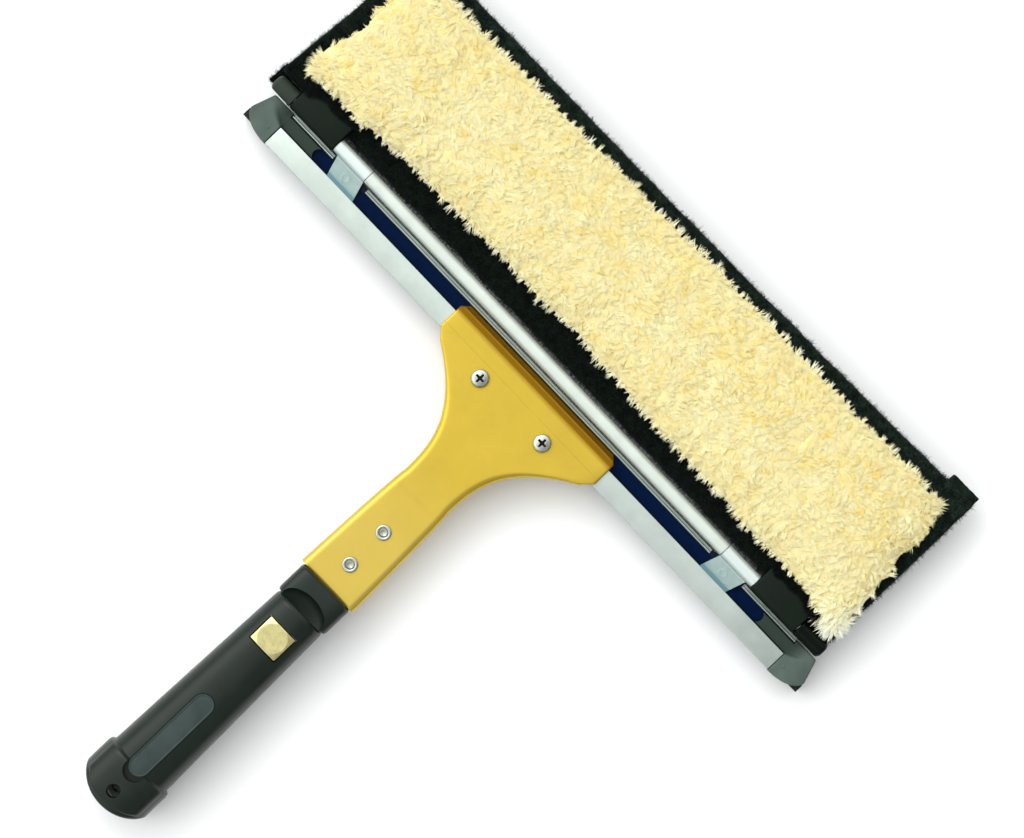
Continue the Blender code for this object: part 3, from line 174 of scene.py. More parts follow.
class HingeSettings(PropertyGroup):
    """Sizes and colours of the hinge."""
    sheet: length("Clip Sheet", 0.0009, "Thickness of a clip's sheet")
    tab_step: length("Tab Step", 0.0029, "A tab's outer edge, from its barrel's outer end")
    tab_lean: length("Tab Lean", 0.0033, "How far a tab leans inwards")
    mark_radius: length("Mark Radius", 0.0017, "Radius of the round mark on each tab")
    block_round: length("Block Round", 0.0008, "Rounding of the pivot blocks' edges")
    barrel_radius: length("Barrel Radius", 0.0042, "Radius of the blocks and the caps")
    zinc: tint("Zinc", (0.32, 0.42, 0.40), "Colour of the zinc-plated clips")
    tube_silver: tint("Tube", (0.60, 0.66, 0.60), "Colour of the aluminium tube")
    cap_black: tint("Black Nylon", (0.0034, 0.0080, 0.0042), "Colour of the blocks and the caps")


class WasherSettings(PropertyGroup):
    """Sizes and colours of the sleeve and its pile."""
    clump_spacing: length("Clump Spacing", 0.0020, "Distance between clumps of fibres")
    strands: IntProperty(name="Strands", description="Strands in each clump", default=9, min=1)
    strand_length: length("Strand Length", 0.0034, "Usual length of a strand")
    strand_radius: length("Strand Radius", 0.00025, "Radius of a strand at its root")
    edge_reach: length("Edge Reach", 0.0040, "Width of the border whose strands lean out")
    fuzz_count: IntProperty(name="Fuzz", description="Short fibres on the sleeve", default=24000)
    fuzz_length: length("Fuzz Length", 0.0014, "Usual length of the sleeve's short fibres")
    pile_root: tint("Pile Root", (0.86, 0.70, 0.29), "Colour deep in the pile")
    pile_tip: tint("Pile Tip", (0.800, 0.740, 0.470), "Colour at the strands' tips")
    fabric: tint("Fabric", (0.0034, 0.0062, 0.0046), "Colour of the black sleeve")


class BracketSettings(PropertyGroup):
    """Sizes and colours of the bracket and its fasteners."""
    wall: length("Wall", 0.0018, "Wall of the pressed shells")
    shoulder: length("Shoulder", 0.0030, "The head's straight sides end this far behind the blade")
    chamfer_x: length("Chamfer Across", 0.0048, "The head's rear chamfer, across")
    chamfer_y: length("Chamfer Along", 0.0054, "The head's rear chamfer, along")
    lip_chamfer: length("Lip Chamfer", 0.0033, "Chamfer of the lip's corners")
    waist_half: length("Waist Half", 0.0138, "Half the width at the waist")
    waist_y: length("Waist Place", -0.0590, "Where the waist lies")
    neck_end_half: length("Neck End Half", 0.0163, "Half the width at the neck's end")
    edge_round: length("Edge Round", 0.0032, "Rounding of the shells' edges")
    lip_round: length("Lip Round", 0.0010, "Rounding of the lip's side edges")
    rise_length: length("Rise Length", 0.0400, "Length over which the skin rises to the neck")
    screw_head: length("Screw Head", 0.0042, "Radius of a screw's head")
    rivet_head: length("Rivet Head", 0.0036, "Radius of a tubular rivet's head")
    gold: tint("Gold", (0.57, 0.40, 0.044), "Colour of the gold lacquer")
    nickel: tint("Nickel", (0.48, 0.50, 0.44), "Colour of the screws and the rivets")
    steel: tint("Steel", (0.45, 0.45, 0.44), "Colour of the plain steel parts")


class GripSettings(PropertyGroup):
    """Sizes and colours of the grip, its inlay and its latch."""
    shoulder_length: length("Shoulder Length", 0.0160, "Length of the block behind the neck")
    body_length: length("Body Length", 0.0980, "From the shoulder to the butt rim")
    front_half: length("Front Half", 0.0136, "Half the grip's width behind the shoulder")
    rear_half: length("Rear Half", 0.0162, "Half the grip's width before the rim")
    rear_height: length("Rear Height", 0.0148, "Half the grip's height before the rim")
    butt_bulge: length("Butt Bulge", 0.0081, "How far the butt's middle stands out")
    flange: length("Flange", 0.0030, "Width of the band round the butt")
    flange_drop: length("Flange Drop", 0.0010, "How far that band lies below the top")
    socket_radius: length("Socket Radius", 0.0100, "Radius of the pole socket")
    inlay_rim: length("Inlay Rim", 0.0006, "Width of the inlay's raised rim")
    face_radius: length("Face Radius", 0.0069, "Radius of the brass button's flat face")
    well_gap: length("Well Gap", 0.0005, "Gap round the latch button")
    black: tint("Black Nylon", (0.0048, 0.0105, 0.0062), "Colour of the moulded grip")
    inlay_grey: tint("Inlay Grey", (0.031, 0.048, 0.044), "Colour of the inlay")
    brass: tint("Brass", (0.60, 0.54, 0.25), "Colour of the latch button")


class StudioSettings(PropertyGroup):
    """The camera, the light and the floor."""
    aim: FloatVectorProperty(name="Aim", description="What the camera looks at", size=3,
                             default=(0.0029, -0.0093, 0.018), unit="LENGTH", precision=5)
    turn: FloatProperty(name="Turn", description="How far the picture is turned",
                        default=math.radians(46.3), unit="ROTATION")
    view_width: length("View Width", 0.4547, "Width that the picture shows")
    lens: FloatProperty(name="Lens", description="Focal length in millimetres", default=142.0)
    softbox_power: FloatProperty(name="Softbox", description="Power of the overhead light",
                                 default=6.0)
    key_power: FloatProperty(name="Key", description="Power of the key light", default=9.0)
    world_strength: FloatProperty(name="Surround", description="Strength of the pale surround",
                                  default=2.0)
    horizon: FloatProperty(name="Horizon", description="Brightness of the surround low down",
                           default=0.20, min=0.0, max=1.0)
    zenith: FloatProperty(name="Zenith", description="Brightness of the surround overhead",
                          default=0.56, min=0.0, max=1.0)
    floor: tint("Floor", (0.93, 0.93, 0.93), "Colour of the pale floor")


# Mathematics of the surfaces

def smooth_step(low, high, value):
    """An S-curve from 0 at low to 1 at high: the share times itself times (3 less twice it)."""
    share = np.clip((value - low) / (high - low), 0.0, 1.0)
    return share * share * (3.0 - 2.0 * share)


def even_turn(count):
    """The angles of a whole turn in even steps."""
    return np.linspace(0.0, FULL_TURN, count, endpoint=False)


def quarter_turn(count):
    """The angles from 0 to a right angle in even steps."""
    return np.linspace(0.0, math.pi / 2, count)


def points_of(*axes):
    """Coordinates of shapes that match, as one array of points."""
    return np.stack(np.broadcast_arrays(*axes), axis=-1)


def unit(vectors):
    """Vectors brought to a length of one."""
    return vectors / np.maximum(np.linalg.norm(vectors, axis=-1, keepdims=True), 1e-12)


def between(pairs, place):
    """The value at a place on the straight lines that join (place, value) pairs."""
    return np.interp(place, *zip(*pairs))


def drift(x, y, cell, seed):
    """Smooth noise from -1 to 1: random values on a square lattice, blended by S-curves."""
    table = np.random.default_rng(seed).uniform(-1.0, 1.0, (512, 512))
    column, row = x / cell + 200.37, y / cell + 200.73
    left, low = np.floor(column).astype(int), np.floor(row).astype(int)
    share_x, share_y = smooth_step(0, 1, column - left), smooth_step(0, 1, row - low)
    left, low = left % 511, low % 511
    below = table[left, low] * (1 - share_x) + table[left + 1, low] * share_x
    above = table[left, low + 1] * (1 - share_x) + table[left + 1, low + 1] * share_x
    return below * (1 - share_y) + above * share_y


def rounded(outline, cut, steps=4):
    """A closed outline with its corners rounded.

    Each corner becomes a parabola between the two points at the cut's length from it.
    """
    outline = np.asarray(outline, float)
    back, ahead = (np.roll(outline, shift, axis=0) - outline for shift in (1, -1))
    back_length, ahead_length = (np.linalg.norm(way, axis=1) for way in (back, ahead))
    cut = np.minimum(np.broadcast_to(cut, back_length.shape),
                     0.45 * np.minimum(back_length, ahead_length))
    start = outline + back * (cut / back_length)[:, None]
    end = outline + ahead * (cut / ahead_length)[:, None]
    share = np.linspace(0.0, 1.0, steps)[None, :, None]
    curve = (1 - share) ** 2 * start[:, None] + 2 * share * (1 - share) * outline[:, None]
    return (curve + share ** 2 * end[:, None]).reshape(-1, 2)


def resampled(path, spacing=None, count=None):
    """A plane path in even steps: a closed outline by their length, an open path by their count."""
    if spacing:
        path = np.vstack([path, path[:1]])
    run = np.concatenate([[0.0], np.cumsum(np.linalg.norm(np.diff(path, axis=0), axis=1))])
    at = np.linspace(0.0, run[-1], count or int(round(run[-1] / spacing)), endpoint=not spacing)
    return np.stack([np.interp(at, run, place) for place in path.T], axis=-1)


def outward_normals(outline):
    """Unit normals of a closed outline: its chord turned a quarter, away from its inside."""
    ahead = np.roll(outline, -1, axis=0)
    chord = ahead - np.roll(outline, 1, axis=0)
    area = np.sum(outline[:, 0] * ahead[:, 1] - ahead[:, 0] * outline[:, 1])
    return unit(np.stack([chord[:, 1], -chord[:, 0]], axis=-1)) * np.sign(area)


def rectangle(low, high):
    """A rectangle's corners from its lowest and highest ones."""
    return [(low[0], low[1]), (high[0], low[1]), (high[0], high[1]), (low[0], high[1])]


def grid_faces(rows, columns, wrap_rows=False, wrap_columns=False):
    """Quads between the neighbours of a grid of points; wrapping joins its last to its first."""
    row = np.arange(rows if wrap_rows else rows - 1)[:, None]
    column = np.arange(columns if wrap_columns else columns - 1)[None, :]
    next_row, next_column = (row + 1) % rows, (column + 1) % columns
    corners = [row * columns + column, row * columns + next_column,
               next_row * columns + next_column, next_row * columns + column]
    return np.stack(corners, axis=-1).reshape(-1, 4)


def grid_rim(rows, columns):
    """The points round the edge of a grid, in order."""
    grid = np.arange(rows * columns).reshape(rows, columns)
    return np.concatenate([grid[0], grid[1:, -1], grid[-1, -2::-1], grid[-2:0:-1, 0]])


def facing_out(points, faces):
    """Faces turned to point outwards: the body's signed volume must be above zero."""
    volume = 0.0
    for group in faces:
        corners = points[group]
        first = np.broadcast_to(corners[:, :1], corners[:, 1:-1].shape)
        volume += np.sum(first * np.cross(corners[:, 1:-1], corners[:, 2:]))
    return faces if volume > 0 else [group[:, ::-1] for group in faces]


def lofted(rings):
    """A closed body through rings of equal size, with a flat face on each end."""
    rows, columns = rings.shape[:2]
    first = np.arange(columns)[None, ::-1]
    last = np.arange(columns)[None, :] + (rows - 1) * columns
    points = rings.reshape(-1, 3)
    return points, facing_out(points, [grid_faces(rows, columns, wrap_columns=True), first, last])


def turned(profile, axis, across, up, sides=64, hollow=False):
    """A turned body: (place, radius) pairs carried round an axis.

    A hollow profile is a closed loop round nothing; otherwise its two ends get flat faces.
    """
    run, radius = np.asarray(profile, float).T[..., None]
    side = across + radius * np.cos(even_turn(sides))
    rise = up + radius * np.sin(even_turn(sides))
    axes = {"X": (run, side, rise), "Y": (side, run, rise), "Z": (side, rise, run)}[axis]
    rings = points_of(*axes)
    if not hollow:
        return lofted(rings)
    points = rings.reshape(-1, 3)
    return points, facing_out(points, [grid_faces(*rings.shape[:2], True, True)])


def soft_run(low, high, radius, steps=5):
    """Places from low to high, and how far a section is drawn in there by its round ends.

    Each end is a quarter of a circle.
    """
    turn = quarter_turn(steps)
    start = low + radius * (1 - np.cos(turn))
    end = high - radius * (1 - np.cos(turn[::-1]))
    inset = radius * (1 - np.sin(turn))
    return np.concatenate([start, end]), np.concatenate([inset, inset[::-1]])


def with_stations(along, inset, extra):
    """A run with more stations set in among its own, in order and with no inset."""
    order = np.argsort(np.concatenate([along, extra]))
    return (np.concatenate([along, extra])[order],
            np.concatenate([inset, np.zeros(len(extra))])[order])


def carried(outline, along, inset):
    """Rings: a (Y, Z) outline at each station along X, drawn in along its normals."""
    section = outline - inset[:, None, None] * outward_normals(outline)
    return points_of(along[:, None], section[..., 0], section[..., 1])


def extruded(outline, low, high, end_round):
    """A (Y, Z) outline carried along X, drawn in along its normals at both ends."""
    return lofted(carried(outline, *soft_run(low, high, end_round)))


def mirrored(side, body_shape):
    """A body drawn for the right side, turned over where it belongs to the left one."""
    points, faces = body_shape
    if side > 0:
        return points, faces
    return points * (-1.0, 1.0, 1.0), [group[:, ::-1] for group in faces]


def crowned(outline, centre, low, height_at, edge_round, rings=16):
    """A plate on a plan outline.

    Its side is upright, its top edge is a quarter circle, and its top is a height over the plan
    on rings that shrink in equal steps to the centre.
    """
    inset, drop = (np.concatenate([[0.0], edge_round * (1 - wave(quarter_turn(5)))])
                   for wave in (np.cos, np.sin))
    rim = outline - inset[:, None, None] * outward_normals(outline)
    height = height_at(rim[..., 0], rim[..., 1]) - drop[:, None]
    height[0] = low
    shrink = np.linspace(1.0, 0.02, rings + 1)[1:, None, None]
    inside = centre + (rim[-1] - centre) * shrink
    plan = np.concatenate([rim, inside])
    rise = np.concatenate([height, height_at(inside[..., 0], inside[..., 1])])
    return lofted(points_of(plan[..., 0], plan[..., 1], rise))


def bent_sheet(middle, normal, thickness):
    """A closed sheet: a grid of points moved half the thickness both ways along its normals."""
    rows, columns = middle.shape[:2]
    count = rows * columns
    points = np.vstack([(middle + way * normal * thickness / 2).reshape(-1, 3) for way in (1, -1)])
    top, rim = grid_faces(rows, columns), grid_rim(rows, columns)
    ahead = np.roll(rim, -1)
    side = np.stack([ahead, rim, rim + count, ahead + count], axis=-1)
    return points, facing_out(points, [top, top[:, ::-1] + count, side])


def merged(*bodies):
    """Several bodies as one set of points and faces."""
    points, faces, start = [], [], 0
    for body_points, body_faces in bodies:
        points.append(body_points)
        faces += [group + start for group in body_faces]
        start += len(body_points)
    return np.vstack(points), faces


def strand_tubes(path, side, radius, flat=1.0):
    """Thin three-sided tubes along paths, each closed at both ends, flattened by a factor.

    The corners stand a third of a turn apart, on the given side vector and the normal that
    the side and the path's own direction make together; one flat side faces away from it.
    """
    count, steps = path.shape[:2]
    side = np.broadcast_to(side[:, None, :], path.shape)
    normal = unit(np.cross(side, unit(np.gradient(path, axis=1))))
    angle = (np.arange(3) * FULL_TURN / 3 + math.pi / 2)[:, None]
    spread = np.cos(angle) * side[:, :, None] + flat * np.sin(angle) * normal[:, :, None]
    points = (path[:, :, None] + radius[..., None, None] * spread).reshape(-1, 3)
    first = (np.arange(count) * steps * 3)[:, None, None]
    quads = (grid_faces(steps, 3, wrap_columns=True)[None] + first).reshape(-1, 4)
    ends = np.array([[2, 1, 0], [steps * 3 - 3, steps * 3 - 2, steps * 3 - 1]])
    triangles = (ends[None] + first).reshape(-1, 3)
    return points, facing_out(points, [quads, triangles])


# Pieces and finishes

def put_in_scene(name, data):
    """A new object of the scene, with its data."""
    item = bpy.data.objects.new(name, data)
    bpy.context.scene.collection.objects.link(item)
    return item


def new_piece(name, body_shape, finish, body, replaces=(), sharp=30.0, pattern=None):
    """Put points and faces into a piece at the origin that rides on a CAD body."""
    points, faces = body_shape
    mesh = bpy.data.meshes.new(name)
    corners = np.concatenate([group.ravel() for group in faces]).astype(np.int32)
    totals = np.concatenate([np.full(len(group), group.shape[1]) for group in faces])
    starts = np.concatenate([[0], np.cumsum(totals)[:-1]])
    mesh.vertices.add(len(points))
    mesh.vertices.foreach_set("co", np.ascontiguousarray(points, np.float32).ravel())
    mesh.loops.add(len(corners))
    mesh.loops.foreach_set("vertex_index", corners)
    mesh.polygons.add(len(totals))
    mesh.polygons.foreach_set("loop_start", starts.astype(np.int32))
    mesh.polygons.foreach_set("loop_total", totals.astype(np.int32))
    mesh.update(calc_edges=True)
    mesh.shade_smooth()
    if sharp:
        mesh.set_sharp_from_angle(angle=math.radians(sharp))
    if pattern is not None:
        layer = mesh.uv_layers.new(name="pattern")
        layer.data.foreach_set("uv", pattern[corners].astype(np.float32).ravel())
    piece = put_in_scene(name, mesh)
    mesh.materials.append(finish)
    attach(piece, body)
    if replaces:
        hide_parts(*replaces)
    return piece


def with_holes(piece, cutters, sharp=30.0):
    """Cut bodies out of a piece, and keep the result as its own mesh."""
    tools = []
    for number, (points, faces) in enumerate(cutters):
        mesh = bpy.data.meshes.new(f"cutter_{number}")
        corners = [row.tolist() for group in faces for row in group]
        mesh.from_pydata(points.tolist(), [], corners)
        tool = put_in_scene(f"cutter_{number}", mesh)
        tools.append(tool)
        modifier = piece.modifiers.new(f"hole {number}", "BOOLEAN")
        modifier.operation = "DIFFERENCE"
        modifier.solver = "EXACT"
        modifier.object = tool
    bpy.context.view_layer.update()
    graph = bpy.context.evaluated_depsgraph_get()
    result = bpy.data.meshes.new_from_object(piece.evaluated_get(graph))
    if len(result.polygons) < 10:
        raise RuntimeError(f"{piece.name} lost its faces when its holes were cut")
    piece.modifiers.clear()
    previous = piece.data
    piece.data = result
    result.name = piece.name
    bpy.data.meshes.remove(previous)
    for tool in tools:
        bpy.data.meshes.remove(tool.data)
    result.shade_smooth()
    result.set_sharp_from_angle(angle=math.radians(sharp))


def tinted(colour, *factors):
    """A colour whose channels are each times a factor of their own."""
    return tuple(channel * factor for channel, factor in zip(colour, factors))


def feed(socket, value):
    """Link a pattern into a node's socket, or give the socket a plain value."""
    if isinstance(value, bpy.types.NodeSocket):
        socket.id_data.links.new(value, socket)
    else:
        socket.default_value = value


def add_node(tree, kind, inputs=None, **settings):
    """Add a node to a material or a world, with its settings and its inputs."""
    item = tree.nodes.new(kind)
    for key, value in settings.items():
        setattr(item, key, value)
    for key, value in (inputs or {}).items():
        feed(item.inputs[key], value)
    return item


def colour_ramp(tree, source, stops):
    """Colours along a value, as (place, colour) pairs."""
    item = add_node(tree, "ShaderNodeValToRGB", {"Fac": source})
    table = item.color_ramp.elements
    while len(table) < len(stops):
        table.new(0.5)
    for element, (place, colour) in zip(table, stops):
        element.position = place
        element.color = (*colour, 1.0)
    return item.outputs["Color"]


class Finish:
    """A procedural material: a Principled shader, and the patterns that feed it."""

    def __init__(self, name, colour, roughness, metallic=0.0, **sockets):
        self.material = bpy.data.materials.new(name)
        self.material.use_nodes = True
        self.tree = self.material.node_tree
        self.shader = self.tree.nodes["Principled BSDF"]
        self.colour = tuple(colour)
        self.set("Base Color", (*self.colour, 1.0))
        self.set("Roughness", roughness)
        self.set("Metallic", metallic)
        for key, value in sockets.items():
            self.set(key.replace("_", " ").title().replace("Ior", "IOR"), value)

    def set(self, socket, value):
        """Give one of the shader's sockets a number or a pattern."""
        feed(self.shader.inputs[socket], value)

    def node(self, kind, inputs=None, **settings):
        """Add a node with its settings and its inputs."""
        return add_node(self.tree, kind, inputs, **settings)

    def where(self, stretch=(1.0, 1.0, 1.0), centre=(0.0, 0.0, 0.0)):
        """The piece's own coordinates, measured from a centre and stretched."""
        source = self.node("ShaderNodeTexCoord").outputs["Object"]
        shift = tuple(-place * factor for place, factor in zip(centre, stretch))
        mapping = self.node("ShaderNodeMapping",
                            {"Vector": source, "Location": shift, "Scale": stretch})
        return mapping.outputs["Vector"]

    def height(self, axis="Z"):
        """One of the piece's own coordinates."""
        source = self.node("ShaderNodeTexCoord").outputs["Object"]
        return self.node("ShaderNodeSeparateXYZ", {"Vector": source}).outputs[axis]

    def pattern(self):
        """The shares across and up that the piece's own pattern holds."""
        stored = self.node("ShaderNodeUVMap", uv_map="pattern").outputs["UV"]
        split = self.node("ShaderNodeSeparateXYZ", {"Vector": stored}).outputs
        return split["X"], split["Y"]

    def noise(self, size, detail=3.0, rough=0.5, stretch=(1.0, 1.0, 1.0)):
        """Cloudy noise whose spots are about the size given."""
        return self.node("ShaderNodeTexNoise", {
            "Vector": self.where(stretch), "Scale": 1.0 / size, "Detail": detail,
            "Roughness": rough}).outputs["Fac"]

    def ramp(self, source, *stops):
        """Colours along a value, as (place, colour) pairs."""
        return colour_ramp(self.tree, source, stops)

    def span(self, source, low, high, from_low=0.3, from_high=0.7):
        """A value brought from one range to another."""
        return self.node("ShaderNodeMapRange", {
            "Value": source, "From Min": from_low, "From Max": from_high,
            "To Min": low, "To Max": high}).outputs["Result"]

    def mix(self, share, first, second, blend="MIX"):
        """Two colours mixed by a share."""
        first, second = (value if isinstance(value, bpy.types.NodeSocket) else (*value, 1.0)
                         for value in (first, second))
        return self.node("ShaderNodeMix", {0: share, 6: first, 7: second}, data_type="RGBA",
                         blend_type=blend).outputs[2]

    def shade(self, factor):
        """The base colour made darker or lighter."""
        return tuple(min(1.0, channel * factor) for channel in self.colour)

    def mottled(self, source, dark, light, low=0.30, high=0.70):
        """The base colour from darker to lighter along a pattern."""
        return self.ramp(source, (low, self.shade(dark)), (high, self.shade(light)))

    def bump(self, height, strength, distance, under=None):
        """Small relief from a height pattern, in metres."""
        inputs = {"Height": height, "Strength": strength, "Distance": distance}
        if under:
            inputs["Normal"] = under
        relief = self.node("ShaderNodeBump", inputs).outputs["Normal"]
        self.set("Normal", relief)
        return relief

    def coated(self, base, source=None, *span):
        """The finished material: its colour, and a roughness that follows a pattern."""
        self.set("Base Color", base)
        if source:
            self.set("Roughness", self.span(source, *span))
        return self.material


def drawn_metal(name, colour, roughness, metallic=0.95, deep=None):
    """Metal with fine lines along its length and faint clouds of tarnish.

    Deep gives the height below which the coating's colour lies in the trough, and that colour.
    """
    finish = Finish(name, colour, roughness, metallic, specular_ior_level=0.15)
    streaks = finish.noise(0.00022, 2.0, 0.6, (0.02, 1.0, 1.0))
    base = finish.mottled(finish.noise(0.0090, 4.0, 0.55), 0.93, 1.05)
    if deep:
        level, coating = deep
        fade = (level, level + 0.0002)
        base = finish.mix(finish.span(finish.height(), 1.0, 0.0, *fade), base, coating)
        finish.set("Metallic", finish.span(finish.height(), 0.0, metallic, *fade))
    finish.bump(streaks, 0.25, 0.00002)
    return finish.coated(base, streaks, roughness - 0.06, roughness + 0.08)


def moulded_plastic(name, colour, roughness, grain=0.00035, depth=0.00004, shine=0.22, painted_shade_heights=None):
    """Moulded plastic with a fine spark-eroded grain and slight rubbed patches.

    The last argument gives the two heights between which the colour fades to a darker one: painted
    shade, darkest at and below the lower height.
    """
    finish = Finish(name, colour, roughness, specular_ior_level=shine)
    patches = finish.noise(0.0130, 4.0, 0.6)
    base = finish.mottled(patches, 0.82, 1.20, low=0.32)
    # Painted shade: the colour darkens below the given heights.
    if painted_shade_heights:
        share = finish.span(finish.height(), 1.0, 0.0, *painted_shade_heights)
        base = finish.mix(share, base, tinted(finish.colour, 0.25, 0.31, 0.26))
    finish.bump(finish.noise(grain, 2.0, 0.6), 0.55, depth)
    return finish.coated(base, patches, roughness - 0.05, roughness + 0.06)


def plated_metal(name, colour, roughness, dark_recess=False):
    """Bright plated metal with hairline scratches and faint stains.

    Where the recess is darkened, the pattern's first share says how nearly black a recess is.
    """
    finish = Finish(name, colour, roughness, 1.0)
    stains = finish.noise(0.0030, 4.0, 0.6)
    base = finish.mottled(stains, 0.86, 1.05, high=0.65)
    if dark_recess:
        base = finish.mix(finish.pattern()[0], base, (0.012, 0.012, 0.011))
    finish.bump(finish.noise(0.00030, 3.0, 0.7, (1.0, 0.15, 1.0)), 0.20, 0.00002)
    return finish.coated(base, stains, roughness - 0.05, roughness + 0.12)


def zinc_sheet(name, colour):
    """Zinc-plated sheet: soft spangles, painted shade on the tab's lip, darker and bluer, and a
    painted highlight on the roll, which is brighter.
    """
    finish = Finish(name, colour, 0.38, 0.45, specular_ior_level=0.2)
    spangle = finish.node("ShaderNodeTexVoronoi", {
        "Vector": finish.where(), "Scale": 900.0, "Randomness": 1.0}).outputs["Distance"]
    clouds = finish.noise(0.0025, 3.0)
    # Painted highlight: the roll's colour is made brighter, standing in for its broad highlight.
    roll = finish.span(finish.height("Y"), 0.0, 1.0, 0.0146, 0.0162)
    # Painted shade: the tab's lip is made darker and bluer, where the strip overhangs it.
    lip = finish.span(finish.height("Y"), 1.0, 0.0, 0.0076, 0.0083)
    base = finish.mix(roll, finish.mottled(clouds, 0.94, 1.05), tinted(colour, 1.95, 1.66, 1.68))
    finish.bump(clouds, 0.05, 0.00003)
    return finish.coated(finish.mix(lip, base, tinted(colour, 0.40, 0.60, 0.72)),
                         spangle, 0.30, 0.38, 0.0, 0.8)


def gold_lacquer(name, colour):
    """Gold lacquer over pressed metal: satin, with a slight orange peel and faint rubbing.

    Its colour is painted darker and browner on the bent lip, as painted shade, and is paler on the
    neck.
    """
    finish = Finish(name, colour, 0.34, 0.82)
    clouds = finish.noise(0.0180, 4.0, 0.6)
    pits = finish.span(finish.noise(0.00045, 2.0, 0.7), 0.0, 0.35, 0.70, 0.80)
    # The colour is paler on the neck.
    neck_paling = finish.span(finish.height("Y"), 0.55, 0.0, -0.090, -0.045)
    # Painted shade: the bent lip's facets are made darker and browner.
    bend = finish.span(finish.height("Y"), 0.0, 1.0, 0.0052, 0.0076)
    base = finish.mix(pits, finish.mottled(clouds, 0.92, 1.05, high=0.72),
                      tinted(finish.shade(0.92), 0.55, 0.55, 0.55))
    base = finish.mix(neck_paling, base, tinted(colour, 1.12, 1.2, 2.6))
    finish.bump(finish.noise(0.0011, 2.0, 0.5), 0.18, 0.00006)
    return finish.coated(finish.mix(bend, base, tinted(colour, 0.54, 0.375, 0.04)),
                         clouds, 0.32, 0.42)


def turned_brass(name, colour, centre):
    """Brass with fine turning rings about its middle, and a few darker stains."""
    finish = Finish(name, colour, 0.30, 0.95)
    rings = finish.node("ShaderNodeTexWave", {
        "Vector": finish.where(centre=centre), "Scale": 900.0, "Distortion": 0.6, "Detail": 2.0,
    }, wave_type="RINGS", rings_direction="Z").outputs["Fac"]
    stains = finish.noise(0.0028, 4.0, 0.6)
    finish.bump(rings, 0.22, 0.00003)
    return finish.coated(finish.mottled(stains, 0.84, 1.06, 0.32, 0.62), stains, 0.24, 0.40)


def gloss_plastic(name, colour):
    """Smooth coated strip with faint dust and a soft gloss."""
    finish = Finish(name, colour, 0.32, specular_ior_level=0.03)
    dust = finish.noise(0.0035, 5.0, 0.65)
    finish.bump(dust, 0.10, 0.00004)
    return finish.coated(finish.mottled(dust, 0.85, 1.35, 0.35, 0.75), dust, 0.24, 0.40)


def wiping_rubber(name, colour):
    """Matte rubber with a chalky bloom."""
    finish = Finish(name, colour, 0.68, specular_ior_level=0.20)
    bloom = finish.noise(0.0060, 5.0, 0.65)
    finish.bump(finish.noise(0.0005), 0.30, 0.00003)
    return finish.coated(finish.mottled(bloom, 0.8, 1.9, 0.40, 0.80), bloom, 0.60, 0.78)


def pressed_board(name, colour):
    """Dark pressed board with a fibrous grain."""
    finish = Finish(name, colour, 0.70)
    grain = finish.noise(0.0009, 5.0, 0.7, (0.25, 1.0, 1.0))
    finish.bump(grain, 0.4, 0.00008)
    return finish.coated(finish.mottled(grain, 0.7, 1.4))


def black_fabric(name, colour):
    """Black napped fabric: a loose weave under short fuzz, with a faint sheen.

    It is matted in clumps, and is darker towards the hinge and paler towards its far edge.
    """
    finish = Finish(name, colour, 0.95, sheen_weight=0.03, sheen_roughness=0.6,
                    specular_ior_level=0.02)
    nap = finish.noise(0.0009, 4.0, 0.7)
    clumps = finish.noise(0.0038, 3.0, 0.6)
    across = finish.span(finish.height("Y"), 0.0, 1.0, 0.030, 0.112)
    matted = finish.ramp(clumps, (0.36, (0.45, 0.45, 0.45)), (0.62, (1.25, 1.25, 1.25)))
    # Darker towards the hinge and paler towards the far edge.
    darker_near_paler_far = finish.ramp(across, (0.0, (0.62, 0.62, 0.62)), (1.0, (1.9, 1.9, 1.9)))
    base = finish.mix(1.0, finish.mottled(nap, 0.45, 2.1, 0.38, 0.62), matted, "MULTIPLY")
    finish.bump(nap, 0.7, 0.00025, finish.bump(clumps, 0.5, 0.0004))
    return finish.coated(finish.mix(1.0, base, darker_near_paler_far, "MULTIPLY"))


def shaggy_pile(name, root, tip):
    """Fibres that are deeper in colour at the root and pale at the tip.

    The piece's pattern holds each strand's tone across and the share of its length up. The
    lowest tones are tan flecks and the highest are the bleached fringe.
    """
    finish = Finish(name, tip, 0.90, specular_ior_level=0.05, sheen_weight=0.10,
                    sheen_roughness=0.5)
    tone, share = finish.pattern()
    middle = tuple(0.35 * r + 0.65 * t for r, t in zip(root, tip))
    along = finish.ramp(share, (0.0, root), (0.30, middle), (0.85, tip))
    flecks = finish.ramp(tone, (0.02, (0.96, 0.82, 0.42)), (0.20, (0.99, 0.94, 0.68)),
                         (0.48, (0.96, 0.96, 0.90)), (0.78, (1.0, 1.04, 1.0)))
    haze = finish.ramp(finish.noise(0.0110, 3.0, 0.6), (0.35, (1.0, 0.97, 0.90)),
                       (0.65, (1.0, 1.0, 1.0)))
    hazed = finish.mix(1.0, finish.mix(1.0, along, flecks, "MULTIPLY"), haze, "MULTIPLY")
    fringe = finish.span(tone, 0.0, 0.75, 0.80, 1.0)
    return finish.coated(finish.mix(fringe, hazed, (0.92, 0.93, 0.83)))


def pale_floor(name, colour):
    """A plain pale sweep with the faintest mottling."""
    finish = Finish(name, colour, 0.75, specular_ior_level=0.1)
    return finish.coated(finish.mottled(finish.noise(0.080, 3.0), 0.995, 1.005))


def refinish(node, finish):
    """Give a CAD node that stays its better material."""
    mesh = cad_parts[node].data
    mesh.materials.clear()
    mesh.materials.append(finish)


# Channel

